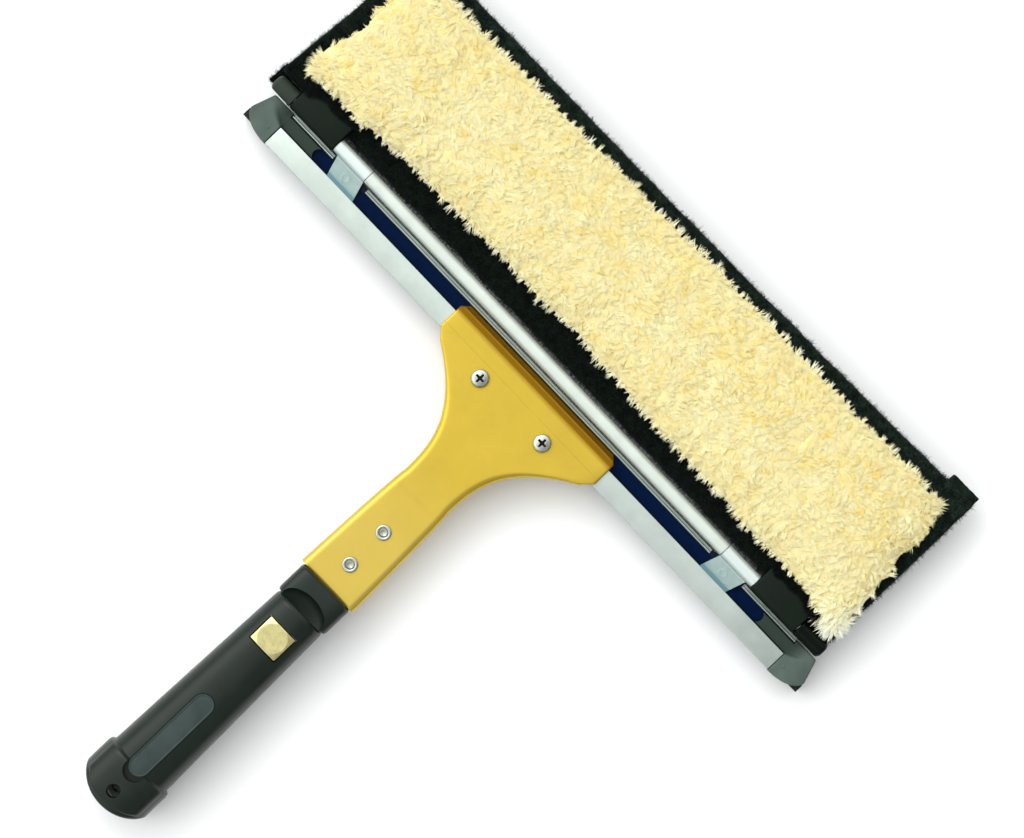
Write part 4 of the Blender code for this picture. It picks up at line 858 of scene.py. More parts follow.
def channel_section(sizes):
    """The extrusion's (Y, Z) outline: housing, strip, trough and a grooved ledge."""
    back, bottom = CHANNEL_LOW[1], CHANNEL_LOW[2]
    front, top = CHANNEL_HIGH[1], CHANNEL_HIGH[2]
    wall = sizes.wall
    under = top - wall
    floor = top - sizes.trough_depth
    ledge = top - sizes.ledge_drop
    bead = sizes.ledge_back
    groove = bead + sizes.bead_width
    inside = -back - wall
    slot = inside - RUBBER_LIP
    lip = bottom + wall
    deep = ledge - sizes.groove_depth
    outline = [
        (back, bottom), (back, top), (sizes.strip_front, top), (sizes.strip_front, under),
        (-back, under), (-back, floor), (bead, floor), (bead, ledge - 0.0009),
        (bead + 0.0003, ledge - 0.0003), (bead + 0.0007, ledge), (groove - 0.0005, ledge - 0.0003),
        (groove - 0.0001, deep), (groove + 0.0001, deep), (groove + 0.0004, ledge - 0.0004),
        (front - 0.0002, ledge - 0.0005), (front, ledge - 0.0009),
        (front, floor - wall), (-back, floor - wall),
        (-back, bottom), (slot, bottom), (slot, lip), (inside, lip), (inside, under),
        (-inside, under), (-inside, lip), (-slot, lip), (-slot, bottom),
    ]
    return rounded(outline, sizes.edge_round)


def channel_body(sizes):
    """The section carried along X. Round each clip the ledge is lowered to the trough's floor."""
    room, hair = 0.0006, 0.00001
    step = bpy.context.scene.squeegee_hinge.tab_step
    edges = []
    for node, inner, outer in (("clip_left", 0.0, step), ("clip_right", step, 0.0)):
        low, high = box(node)
        edges.append((low[0] + outer - room, high[0] - inner + room))
    extra = np.array([[low, low + hair, high - hair, high] for low, high in edges]).ravel()
    along, inset = with_stations(*soft_run(CHANNEL_LOW[0], CHANNEL_HIGH[0], 0.0003), extra)
    rings = carried(channel_section(sizes), along, inset)
    inside = np.zeros(along.shape, bool)
    for low, high in edges:
        inside |= (along > low + hair / 2) & (along < high - hair / 2)
    ledge = inside[:, None] & (rings[..., 1] > sizes.ledge_back - 0.0002)
    lowered = np.minimum(rings[..., 2], CHANNEL_HIGH[2] - sizes.trough_depth)
    rings[..., 2] = np.where(ledge, lowered, rings[..., 2])
    return lofted(rings)


def plug_body(side, node, sizes):
    """An end plug: a crowned cap that dips towards a tongue with a hollow round end."""
    low, high = box(node)
    start, outer = CHANNEL_HIGH[0] + GAP, reach_of(node, side)[1]
    rear, front, top = low[1], high[1], high[2]
    waist = 0.0034                  # where the rear edge's curve starts, along Y
    straight_end = outer - 0.0037   # where the front edge ends, along X
    tongue_end = start + 0.0045
    tongue_top = CHANNEL_HIGH[2] - sizes.wall - 0.0008
    turn = quarter_turn(24)
    curve = np.stack([start + (outer - start) * np.cos(turn),
                      waist + (rear - waist) * np.sin(turn)], axis=-1)
    outline = np.vstack([[[start, front], [straight_end, front]], curve])
    outline = resampled(rounded(outline, 0.0007), 0.00035)

    def height_at(x, y):
        """Flat, less a valley that opens into the trough, a dimple and a fall to the end."""
        past = np.maximum(x - start, 0.0)
        limit = sizes.strip_front + 0.30 * past
        valley = smooth_step(start + 0.0115, start + 0.0008, x)
        valley = valley * smooth_step(limit - 0.0006, limit + 0.0012 + 0.35 * past, y)
        dimple = np.exp(-((x - start - 0.0038) ** 2 + (y - 0.0018) ** 2) / 0.0005 ** 2)
        fall = smooth_step(start + 0.0060, outer, x)
        return top - (top - tongue_top) * valley + 0.00025 * dimple - 0.0009 * fall

    cap = crowned(outline, np.array([start + 0.0072, 0.0046]), low[2], height_at, 0.0006, 48)

    strip_half = (RECESS_HIGH[1] - RECESS_LOW[1]) / 2
    round_end = RECESS_HIGH[0] - strip_half
    half = (sizes.ledge_back - sizes.strip_front) / 2 - GAP
    reach = np.linspace(0.0, 1.0, 40)[:, None]
    across = np.linspace(-1.0, 1.0, 25)[None, :]
    bite = np.sqrt(np.maximum((strip_half + 0.00005) ** 2 - (across * half) ** 2, 0.0))
    x = round_end + bite + (tongue_end - round_end - bite) * reach
    y = (sizes.strip_front + sizes.ledge_back) / 2 + across * half + 0 * reach
    edge = 0.0003 * (np.abs(across) > 0.97)
    z = np.where(x > start, height_at(x, y) + 0.00005, tongue_top) - edge
    floor = CHANNEL_HIGH[2] - sizes.trough_depth + GAP
    tongue = bent_sheet(points_of(x, y, (z + floor) / 2), points_of(0.0, 0.0, z - floor), 1.0)
    return mirrored(side, merged(cap, tongue))


class SQUEEGEE_OT_channel(Operator):
    """Build the channel and its end plugs, and finish the strip and the rubber."""
    bl_idname = "squeegee.channel"
    bl_label = "Channel"

    def execute(self, context):
        sizes = context.scene.squeegee_channel
        top = CHANNEL_HIGH[2]
        trough = top - sizes.trough_depth + 0.0004
        silver = drawn_metal("satin_aluminium", sizes.silver, 0.36,
                             deep=(trough, tuple(sizes.navy)))
        new_piece("channel_extrusion", channel_body(sizes), silver, "squeegee",
                  ("channel",), 25.0)
        # The end plugs' grey gets painted shade, darker where they dip to the tongue.
        grey = moulded_plastic("satin_grey_plastic", sizes.plug_grey, 0.42, shine=0.18,
                               painted_shade_heights=(top - sizes.plug_shade_depth, top - 0.0002))
        for side, name in SIDES.items():
            node = f"end_plug_{name}"
            new_piece(f"moulded_plug_{name}", plug_body(side, node, sizes), grey, "squeegee",
                      (node,), 40.0)
        refinish("recess_strip", gloss_plastic("navy_strip", sizes.navy))
        refinish("rubber_blade", wiping_rubber("wiping_rubber", sizes.rubber))
        return {"FINISHED"}


# Hinge

def round_rod(radius, angle):
    """Points of the (Y, Z) plane on a circle about the rod."""
    return np.stack([HINGE_Y + radius * np.cos(angle), HINGE_Z + radius * np.sin(angle)], axis=-1)


def clip_body(side, node, sizes):
    """A clip: a sheet path from the tab's tip to the rolled barrel, swept across X.

    The sheet's middle runs tip, bend, knee and round the rod; its width is the barrel's, and on
    the tab it steps back at the outer end and leans inwards.
    """
    inner, outer = reach_of(node, side)
    inner += sizes.tab_lean
    radius = TUBE_RADIUS - sizes.sheet / 2
    corners = np.array([*CLIP_CORNERS, (HINGE_Y - radius, HINGE_Z)])
    share = np.linspace(0.0, 1.0, 9)[:, None]
    legs = [start + (end - start) * share for start, end in zip(corners, corners[1:])]
    line = resampled(np.vstack([legs[0], legs[1][1:], legs[2][1:]]), count=60)
    for smoothing in range(6):
        line[1:-1] = (line[:-2] + 2 * line[1:-1] + line[2:]) / 4
    angle = np.radians(np.linspace(180.0, -152.0, 72))[1:]
    path = np.vstack([line, round_rod(radius, angle)])
    forward = unit(np.gradient(path, axis=0))
    tab = np.arange(len(path)) < len(line) - 1
    tip, knee = corners[0, 0], corners[2, 0]
    lean = np.where(tab, np.maximum(knee - path[:, 0], 0.0) / (knee - tip), 0.0)
    lean = sizes.tab_lean * lean
    left = (inner - lean)[:, None]
    right = (outer - np.where(tab, sizes.tab_step, 0.0) - lean)[:, None]
    x = left + (right - left) * np.linspace(0.0, 1.0, 44)
    middle = points_of(x, path[:, :1], path[:, 1:])
    normals = np.broadcast_to(points_of(0.0, -forward[:, 1:], forward[:, :1]), middle.shape)
    mark_x = (inner + outer - sizes.tab_step) / 2 - sizes.tab_lean * 0.45
    distance = np.hypot(x - mark_x, path[:, :1] - TAB_MARK_Y)
    mark = np.exp(-((distance - sizes.mark_radius) / 0.00035) ** 2) * tab[:, None]
    middle = middle + normals * (mark * 0.00012)[..., None]
    return mirrored(side, bent_sheet(middle, normals, sizes.sheet))


def tube_body():
    """The spacer tube: a ring section with softened edges, turned about the rod."""
    low, high, outer = TUBE_LOW[0], TUBE_HIGH[0], TUBE_RADIUS
    wall, soft = 0.00115, 0.00025
    profile = [(low, outer - wall), (low, outer - soft), (low + soft, outer),
               (high - soft, outer), (high, outer - soft), (high, outer - wall)]
    return turned(profile, "X", HINGE_Y, HINGE_Z, 72, hollow=True)


def block_body(node, sizes):
    """A pivot block: barrel, heel, lug over the sleeve and tongue inside it, carried along X."""
    low, high = box(node)
    radius = sizes.barrel_radius
    front = CHANNEL_HIGH[1] + GAP
    back = SLEEVE_LOW[1] - GAP
    sleeve_top = SLEEVE_HIGH[2] + GAP
    tongue_low, tongue_high = 0.0158, 0.0175
    slope = 0.0014                  # the lug's sloping far edge, along Y
    meet = math.acos((front - HINGE_Y) / radius)
    barrel = round_rod(radius, np.linspace(math.pi / 2, FULL_TURN - meet, 26))
    corners = np.array([
        (front, low[2]), (back, low[2]), (back, tongue_low), (high[1], tongue_low),
        (high[1], tongue_high), (back, tongue_high), (back, sleeve_top), (LUG_END, sleeve_top),
        (LUG_END, high[2] - 0.0009), (LUG_END - slope, high[2]),
    ])
    outline = rounded(np.vstack([barrel, corners]), 0.0005)
    return extruded(outline, low[0], high[0], sizes.block_round)


def cap_body(side, node, sizes):
    """A pin cap: a barrel with a shallow collar and a domed end, turned about the rod."""
    start, end = reach_of(node, side)
    collar, dome, flat = 0.00022, 0.0019, 0.45
    radius = sizes.barrel_radius
    shaft = radius - collar
    turn = quarter_turn(14)
    profile = np.vstack([
        [(start, radius - 0.0003), (start + 0.0003, radius), (start + 0.0016, radius),
         (start + 0.0019, shaft), (start + 0.0023, shaft)],
        np.stack([end - dome + dome * np.sin(turn),
                  shaft * (flat + (1 - flat) * np.cos(turn))], axis=-1)])
    return mirrored(side, turned(profile, "X", HINGE_Y, HINGE_Z, 56))


class SQUEEGEE_OT_hinge(Operator):
    """Build the clips, the spacer tube, the pivot blocks and the pin caps."""
    bl_idname = "squeegee.hinge"
    bl_label = "Hinge"

    def execute(self, context):
        sizes = context.scene.squeegee_hinge
        black = sizes.cap_black
        zinc = zinc_sheet("zinc_plated_sheet", sizes.zinc)
        nylon = moulded_plastic("black_nylon_hinge", black, 0.46, shine=0.12)
        caps = {"left": moulded_plastic("dull_nylon_cap", tinted(black, 4.8, 3.4, 4.1), 0.50,
                                        shine=0.25),
                "right": moulded_plastic("gloss_nylon_cap", tinted(black, 0.5, 0.5, 0.5), 0.12,
                                         0.0006, 0.00003, shine=0.08)}
        bright = drawn_metal("bright_tube", sizes.tube_silver, 0.42, metallic=0.45)
        new_piece("spacer_tube", tube_body(), bright, "washer", ("hinge_tube",))
        for side, name in SIDES.items():
            clip, block, cap = f"clip_{name}", f"pivot_block_{name}", f"pin_cap_{name}"
            new_piece(f"sheet_clip_{name}", clip_body(side, clip, sizes), zinc, "squeegee",
                      (clip,), 40.0)
            new_piece(f"nylon_block_{name}", block_body(block, sizes), nylon, "washer",
                      (block,), 35.0)
            new_piece(f"nylon_cap_{name}", cap_body(side, cap, sizes), caps[name], "washer",
                      (cap,), 35.0)
        refinish("pivot_pin", plated_metal("hinge_steel", context.scene.squeegee_bracket.steel,
                                           0.30))
        return {"FINISHED"}


# Washer

def sleeve_outline():
    """The sleeve's plan: the left edge leans in, the far one slants and curves a little."""
    low, high, near = SLEEVE_LOW[0], SLEEVE_HIGH[0] - 0.0006, SLEEVE_LOW[1]
    plan = [(low - 0.0026, near), (high, near), (high, 0.1134),
            (0.1400, 0.1121), (0.1000, 0.1109), (0.0500, 0.1099), (0.0, 0.1090),
            (-0.0600, 0.1085), (-0.1400, 0.1083), (low + 0.0022, 0.1082),
            (low + 0.0012, 0.0690)]
    cut = np.full(len(plan), 0.009)
    cut[[0, 1, 2, 9]] = 0.003
    return resampled(rounded(plan, cut, 6), 0.0011)


def ear_outline(side):
    """The plan of the sleeve's near corner, which runs on under a pin cap."""
    inner = reach_of(f"pivot_block_{SIDES[side]}", side)[1] + GAP
    outer = 0.1816 if side < 0 else 0.1726
    near, far = 0.0166, 0.0275
    plan = np.array([(inner, near), (outer, near), (outer - 0.0004, far), (inner, far)])
    return resampled(rounded(plan * (side, 1.0), 0.0012, 5), 0.0007)


def napped_rings(outline, low, high, reach, inner, seed):
    """A napped skin as rings: from the underside round the edge to the top.

    The edge is a half superellipse. The inner rings draw in by shares towards the plan's
    middle line, and drifting noise moves the skin in and out a little.
    """
    normal = outward_normals(outline)
    middle, half = (low + high) / 2, (high - low) / 2
    turn = np.linspace(-math.pi / 2, math.pi / 2, 15)
    inset = reach * (1 - np.cos(turn) ** 0.7)
    edge = outline - inset[:, None, None] * normal
    least, most = edge[-1].min(axis=0), edge[-1].max(axis=0)
    depth = (most[1] - least[1]) / 2
    line = points_of(np.clip(edge[-1][:, 0], least[0] + depth, most[0] - depth), least[1] + depth)
    inside = edge[-1] + (line - edge[-1]) * np.asarray(inner)[:, None, None]
    flat = np.concatenate([inside[::-1], edge, inside])
    level = np.full(len(inner), half)
    rise = np.concatenate([-level, half * np.sin(turn), level])
    height = middle + rise[:, None] + 0 * flat[..., 0]
    fuzz = drift(flat[..., 0] + height * 1.7, flat[..., 1] - height, 0.0022, seed)
    wave = drift(flat[..., 0], flat[..., 1] + height, 0.0090, seed + 1)
    swell = -0.00035 + 0.00022 * fuzz + 0.00025 * wave
    side = np.cos(np.arcsin(np.clip(rise / half, -1, 1)))[:, None]
    flat = flat + normal * (swell * side)[..., None]
    height = height + swell * np.sign(rise)[:, None] * (1 - side)
    return points_of(flat[..., 0], flat[..., 1], height)


def fuzz_body(rings, count, mean, seed):
    """Short bent fibres rooted on a skin of rings, each leaning off its normal at random."""
    random = np.random.default_rng(seed)
    rows, columns = rings.shape[:2]
    aside = np.roll(rings, -1, axis=1)[:-1] - rings[:-1]
    area = np.linalg.norm(np.cross(aside, rings[1:] - rings[:-1]), axis=2)
    area[:rows // 4] = 0.0
    cell = random.choice(area.size, count, p=(area / area.sum()).ravel())
    row, column = cell // columns, cell % columns
    ahead = (column + 1) % columns
    share = random.uniform(0, 1, (count, 2, 1))
    right, up = share[:, 0], share[:, 1]
    corner, beside, above = rings[row, column], rings[row, ahead], rings[row + 1, column]
    root = (corner * (1 - right) * (1 - up) + beside * right * (1 - up)
            + above * (1 - right) * up + rings[row + 1, ahead] * right * up)
    normal = unit(np.cross(beside - corner, above - corner))
    centre = rings.reshape(-1, 3).mean(axis=0)
    normal *= np.sign(np.sum(normal * (root - centre), axis=1, keepdims=True))
    heading = unit(normal + random.normal(0, 0.75, (count, 3)))
    curl = random.normal(0, 0.5, (count, 3))
    reach = mean * random.uniform(0.5, 1.7, (count, 1))
    share = np.array([0.0, 0.5, 1.0])[None, :, None]
    path = (root[:, None] - normal[:, None] * 0.0002 + heading[:, None] * reach[:, None] * share
            + curl[:, None] * reach[:, None] * 0.4 * share ** 2)
    radius = FIBRE_RADIUS * np.array([1.0, 0.7, 0.2]) * random.uniform(0.7, 1.4, (count, 1))
    return strand_tubes(path, unit(np.cross(heading, curl)), radius)


def lapped_fibres(side, count, seed):
    """Longer fibres of the sleeve that lap over the far edge of a pivot block's lug.

    Each climbs from the sleeve beside the lug and bends back over it; noise along X and the
    block's outer end decide how far.
    """
    random = np.random.default_rng(seed)
    inner, outer = (side * end for end in reach_of(f"pivot_block_{SIDES[side]}", side))
    root_near, root_far, lug_edge = 0.0295, 0.0335, 0.0300
    root_z, top_z = 0.0196, 0.0232
    along = random.uniform(-0.06, 1.10, count)
    x = inner + (outer - inner) * along
    y = random.uniform(root_near, root_far, count)
    far = (0.0016 + 0.0012 * drift(x, 0 * x, 0.0045, seed) + 0.0030 * smooth_step(0.60, 1.0, along))
    far = np.maximum(far, 0.0004) * random.uniform(0.5, 1.5, count) + y - lug_edge
    sway = random.normal(0, 0.0008, count)
    top = top_z + random.uniform(-0.0004, 0.0006, count) - root_z
    share = np.array([0.0, 0.4, 0.7, 1.0])
    path = points_of(x[:, None] + sway[:, None] * share, y[:, None] - far[:, None] * share ** 1.6,
                     root_z + top[:, None] * np.sin(share * math.pi * 0.62))
    across = np.tile([1.0, 0.0, 0.0], (count, 1))
    radius = 0.00014 * np.array([1.0, 0.9, 0.6, 0.2]) * random.uniform(0.7, 1.3, (count, 1))
    return strand_tubes(path, across, radius)


def corner_tab_body(seed):
    """The small fabric tab at the far right corner: a rounded slab with a flat top."""
    left, right = SLEEVE_HIGH[0] - 0.0170, SLEEVE_HIGH[0] - 0.00125
    near, far, half = 0.1070, SLEEVE_HIGH[1], 0.0025
    plan = [(left, near), (right, near), (right, far), (left, far - 0.0002)]
    outline = resampled(rounded(plan, 0.0006), 0.0007)
    swell = 0.00012 * drift(outline[:, 0], outline[:, 1], 0.0015, seed) - 0.00012
    outline = outline + outward_normals(outline) * swell[:, None]
    middle = (SLEEVE_LOW[2] + SLEEVE_HIGH[2]) / 2
    return crowned(outline, outline.mean(axis=0), middle - half,
                   lambda x, y: middle + half + 0 * x, 0.0008, 8)


def pile_edges(x):
    """The pile's near and far edges in Y at a place along X, wavering a little."""
    near, far = between(PILE_NEAR, x), between(PILE_FAR, x)
    near = near + 0.0009 * drift(x, 0 * x, 0.0080, 3) + 0.0004 * drift(x, 0 * x, 0.0026, 4)
    far = far + 0.0009 * drift(x, 0 * x, 0.0085, 5) + 0.0004 * drift(x, 0 * x, 0.0028, 6)
    return near, far


def pile_place(u, v):
    """The point of the pile's skin at two shares from -1 to 1, and the way out of its plan.

    Its height is the crown times the root of (1 less u to the 16th) times (1 less v to the 4th).
    """
    left, right = PILE_LOW[0] + 0.0012, PILE_HIGH[0] - 0.0022
    x = (left + right) / 2 + u * (right - left) / 2
    near, far = pile_edges(x)
    y = (near + far) / 2 + v * (far - near) / 2
    x = x + np.where(u < 0, between(PILE_LEFT, y), -between(PILE_RIGHT, y)) * np.abs(u) ** 8
    x = x + (0.0009 * drift(y, 0 * y, 0.0075, 8) + 0.0005 * drift(y, 0 * y, 0.0025, 9)) * u ** 8
    pull = np.abs(u) ** 24 * np.abs(v) ** 6
    x = x - np.sign(u) * pull * 0.0014
    y = y - np.sign(v) * pull * 0.0014
    crown = np.sqrt(np.maximum((1 - np.abs(u) ** 16) * (1 - np.abs(v) ** 4), 0.0))
    lumps = 1 + 0.06 * drift(x, y, 0.0120, 11) + 0.035 * drift(x, y, 0.0045, 12)
    z = PILE_LOW[2] + (PILE_HIGH[2] - PILE_LOW[2] - 0.0024) * crown * lumps
    return x, y, z


def pile_base_body():
    """The pile's base: the skin on a grid, its rim drawn down to a flat underside."""
    rows, columns = 420, 90
    u, v = np.meshgrid(np.linspace(-1, 1, rows), np.linspace(-1, 1, columns), indexing="ij")
    x, y, z = pile_place(u, v)
    z = z - 0.00025 + 0.00005 * drift(x, y, 0.0017, 13)
    z = np.where((np.abs(u) > 0.999) | (np.abs(v) > 0.999), PILE_LOW[2], z)
    points = points_of(x, y, z).reshape(-1, 3)
    rim = grid_rim(rows, columns)[None, :]
    return points, facing_out(points, [grid_faces(rows, columns), rim])


def pile_strands(sizes, seed):
    """Clumps of strands over the base.

    Each clump has one heading, from slow noise and chance, that turns outwards near the edge.
    A strand climbs, arches over and lies along its heading, and draws in to its clump's tip.
    """
    random = np.random.default_rng(seed)

    # The clumps' places: a jittered lattice, and extra ones towards the four corners
    spacing = sizes.clump_spacing
    rows = int((PILE_HIGH[0] - PILE_LOW[0]) / spacing)
    columns = int((PILE_HIGH[1] - PILE_LOW[1]) / spacing) - 3
    u, v = np.meshgrid((np.arange(rows) + 0.5) / rows * 2 - 1,
                       (np.arange(columns) + 0.5) / columns * 2 - 1, indexing="ij")
    u = np.clip(u.ravel() + random.uniform(-0.9, 0.9, u.size) / rows, -0.994, 0.994)
    v = np.clip(v.ravel() + random.uniform(-0.9, 0.9, v.size) / columns, -0.985, 0.985)
    tuft = random.uniform(0, 1, (2, 4, 70)) ** 1.6
    u = np.append(u, np.array([-1, -1, 1, 1])[:, None] * (0.998 - 0.034 * tuft[0]))
    v = np.append(v, np.array([-1, 1, -1, 1])[:, None] * (0.992 - 0.17 * tuft[1]))
    x, y, z = pile_place(u, v)
    near, far = pile_edges(x)
    to_side = np.minimum(x - PILE_LOW[0], PILE_HIGH[0] - x)
    to_near, to_far = y - near, far - y
    to_long = np.minimum(to_near, to_far)

    # Their headings
    edge = sizes.edge_reach
    out_x = np.sign(x) * smooth_step(edge, 0.0, to_side)
    out_y = smooth_step(edge, 0.0, to_far) - smooth_step(edge, 0.0, to_near)
    rim = np.clip(np.hypot(out_x, out_y), 0.0, 1.0)
    angle = 1.1 + 1.7 * drift(x, y, 0.0110, seed + 1) + random.normal(0, 0.55, x.size)
    angle += math.pi * (random.uniform(0, 1, x.size) < 0.45)
    head_x = np.cos(angle) * (1 - 0.85 * rim) + 1.5 * out_x
    head_y = np.sin(angle) * (1 - 0.85 * rim) + 1.5 * out_y
    size = np.maximum(np.hypot(head_x, head_y), 1e-6)
    head_x, head_y = head_x / size, head_y / size

    # Their lengths, which grow at the rim and above all at the right corners
    clump_length = sizes.strand_length * random.uniform(0.65, 1.35, x.size)
    clump_length *= 1 + 0.35 * rim * random.uniform(-1.0, 1.0, x.size)
    corner = smooth_step(0.0220, 0.0040, to_side + to_long)
    right_side = np.where(x > 0, 1.0, 0.35)
    clump_length *= 1 + right_side * (0.75 * corner + 0.30 * np.abs(out_x))
    clump_lift = random.uniform(0.00010, 0.00045, x.size) * (1 + 1.5 * rim)

    # Their tones, paler down the far side, with tan flecks and a bleached rim and corner
    band = np.exp(-((v - 0.40) / 0.42) ** 2)
    clump_tone = np.clip(0.52 - 0.12 * band + 0.24 * drift(x, y, 0.0036, seed + 2)
                         + 0.12 * drift(x, y, 0.0130, seed + 3)
                         + random.normal(0, 0.10, x.size), 0.10, 0.78)
    clump_tone[random.uniform(0, 1, x.size) < 0.022] = 0.0
    faded = smooth_step(0.0600, 0.0050, PILE_HIGH[0] - x) * smooth_step(0.0340, 0.0020, to_near)
    pale = np.maximum.reduce([0.92 * smooth_step(0.0065, 0.0002, to_long),
                              smooth_step(0.0130, 0.0010, to_side) * right_side,
                              1.15 * corner * right_side, 0.95 * np.sqrt(faded)])

    # The strands' own headings, lengths and places in their clump
    per = sizes.strands
    count = x.size * per

    def each(values):
        """A clump's value for each of its strands."""
        return np.repeat(values, per, axis=0)

    twist = random.normal(0, 0.22, count)
    ahead, aside = each(head_x), each(head_y)
    turned_x = ahead * np.cos(twist) - aside * np.sin(twist)
    turned_y = ahead * np.sin(twist) + aside * np.cos(twist)
    heading, side = points_of(turned_x, turned_y, 0.0), points_of(-turned_y, turned_x, 0.0)
    reach = each(clump_length) * random.uniform(0.75, 1.2, count)
    ring = random.uniform(0, FULL_TURN, count)
    spread = spacing * 0.62 * np.sqrt(random.uniform(0, 1, count))
    offset = points_of(spread * np.cos(ring), spread * np.sin(ring), 0.0)
    lift = (each(clump_lift) + random.uniform(-0.00008, 0.00012, count))[:, None, None]
    wiggle = random.normal(0, 0.00035, count)[:, None, None]
    reach = (reach * (1 - 0.20 * each(rim)))[:, None, None]
    droop = (0.0020 * each(rim))[:, None, None]

    # Their paths
    share = np.array([0.0, 0.36, 0.70, 1.0])[None, :, None]
    path = (each(points_of(x, y, z))[:, None] + offset[:, None] * (1 - 0.72 * share)
            + heading[:, None] * (reach * (0.18 * share + 0.82 * share ** 1.7))
            + side[:, None] * wiggle * np.sin(share * 5.0))
    path[..., 2:] += lift * np.sin(share * math.pi * 0.66) - droop * share ** 2 - 0.0001
    path[..., 2] = np.maximum(path[..., 2], PILE_LOW[2] + 0.0003)
    thick = sizes.strand_radius * random.uniform(0.7, 1.25, count)
    radius = thick[:, None] * np.array([1.0, 0.92, 0.62, 0.10])
    points, faces = strand_tubes(path, side, radius, 0.38)

    # The pattern: a strand's tone, and the share of its length at each ring of three corners
    tone = np.clip(each(clump_tone) + random.normal(0, 0.05, count), 0.0, 0.78)
    tone = np.clip(np.maximum(tone, each(0.98 * pale) + random.normal(0, 0.06, count)), 0.0, 1.0)
    along = np.broadcast_to(np.array([0.10, 0.42, 0.75, 1.0])[None, :, None], (count, 4, 3))
    return points, faces, points_of(tone[:, None, None], along).reshape(-1, 2)


class SQUEEGEE_OT_washer(Operator):
    """Build the fuzzy sleeve and the shaggy pile, and finish the board inside."""
    bl_idname = "squeegee.washer"
    bl_label = "Washer"

    def execute(self, context):
        sizes = context.scene.squeegee_washer
        fabric = black_fabric("black_napped_fabric", sizes.fabric)
        rings = napped_rings(sleeve_outline(), SLEEVE_LOW[2], SLEEVE_HIGH[2], 0.0026,
                             (0.03, 0.06, 0.10, 0.15, 0.21, 0.30), 21)
        fuzz = fuzz_body(rings, sizes.fuzz_count, sizes.fuzz_length, 22)
        parts = [lofted(rings), corner_tab_body(23), fuzz]
        for side in SIDES:
            ear = napped_rings(ear_outline(side), 0.0104, 0.0140, 0.0010,
                               (0.1, 0.3, 0.6), 31 + side)
            parts += [lofted(ear), fuzz_body(ear, 900, sizes.fuzz_length, 41 + side),
                      lapped_fibres(side, 1500, 51 + side)]
        sleeve = new_piece("fabric_sleeve", merged(*parts), fabric, "washer", ("sleeve",),
                           None)

        yarn = shaggy_pile("yellow_shaggy_pile", sizes.pile_root, sizes.pile_tip)
        base = pile_base_body()
        tone = 0.45 + 0.2 * drift(base[0][:, 0], base[0][:, 1], 0.0040, 24)
        strands, faces, pattern = pile_strands(sizes, 25)
        pile = new_piece("shaggy_pile", merged(base, (strands, faces)), yarn, "washer", ("pile",),
                         50.0, np.vstack([points_of(tone, 0.32), pattern]))

        refinish("pad_board", pressed_board("pressed_board", (0.045, 0.045, 0.045)))
        rivet = plated_metal("board_rivet_nickel", context.scene.squeegee_bracket.nickel, 0.30)
        for number in range(1, 5):
            refinish(f"board_rivet_{number}", rivet)
        return {"FINISHED"}


# Bracket

def bracket_half(y, sizes):
    """Half the bracket's width: lip chamfer, straight sides, rear chamfer, flare and neck.

    The flare follows a power of 2.75 down to the waist, and the neck one of 0.6 beyond it.
    """
    waist, waist_y = sizes.waist_half, sizes.waist_y
    lip_start = SHELL_HIGH[1] - sizes.lip_chamfer
    flare_start = -sizes.shoulder - sizes.chamfer_y
    flare_half = SHELL_HIGH[0] - sizes.chamfer_x
    flare = np.clip((y - waist_y) / (flare_start - waist_y), 0.0, 1.0)
    neck = np.clip((waist_y - y) / (waist_y - SHELL_LOW[1]), 0.0, 1.0)
    chamfer = np.clip((y - flare_start) / sizes.chamfer_y, 0.0, 1.0)
    half = np.where(y > flare_start, flare_half + sizes.chamfer_x * chamfer,
                    waist + (flare_half - waist) * flare ** 2.75)
    half = np.where(y < waist_y, waist + (sizes.neck_end_half - waist) * neck ** 0.6, half)
    return half - np.clip(y - lip_start, 0.0, None)


def eased(y, front, rear, sizes):
    """A height that eases from the head's value to the neck's."""
    share = smooth_step(-sizes.shoulder, -sizes.shoulder - sizes.rise_length, y)
    return front + (rear - front) * share


def shell_rings(y, crown, seam, roof, corner, sizes):
    """Closed sections of a shell across X: outer skin, edges on the seam, inner skin.

    The skin runs up the side, round a quarter circle and across; the inner one is a wall in.
    """
    crown, seam, roof, corner = ((value + 0 * y)[:, None] for value in (crown, seam, roof, corner))
    half = bracket_half(y, sizes)[:, None]
    tall, hollow = np.abs(crown - seam), np.abs(roof - seam)
    corner = np.minimum(corner, 0.6 * tall)
    inner_corner = np.minimum(np.maximum(corner - sizes.wall, GAP), 0.6 * hollow)
    turn = quarter_turn(10)[None, :]
    share = np.linspace(1.0, -1.0, 34)[None, 1:-1]
    side = np.linspace(0.0, 1.0, 4)[None, :-1]

    def skin(width, height, bend):
        """One skin from the right seam to the left one, as X and rise."""
        x = np.concatenate([width + 0 * side, width - bend + bend * np.cos(turn)], axis=1)
        rise = np.concatenate([(height - bend) * side, height - bend + bend * np.sin(turn)], axis=1)
        return (np.concatenate([x, (width - bend) * share, -x[:, ::-1]], axis=1),
                np.concatenate([rise, height + 0 * share, rise[:, ::-1]], axis=1))

    skins = zip(skin(half, tall, corner), skin(half - sizes.wall, hollow, inner_corner))
    x, rise = (np.concatenate([outer, inner[:, ::-1]], axis=1) for outer, inner in skins)
    return points_of(x, y[:, None], seam + np.sign(crown - seam) * rise)


def knots(y, *pairs):
    """A height through (place, height) pairs, its corners eased over half a millimetre."""
    places, heights = np.array(sorted(pairs)).T
    shifts = (-0.0004, -0.0002, 0.0, 0.0002, 0.0004)
    return sum(np.interp(y + shift, places, heights) for shift in shifts) / len(shifts)


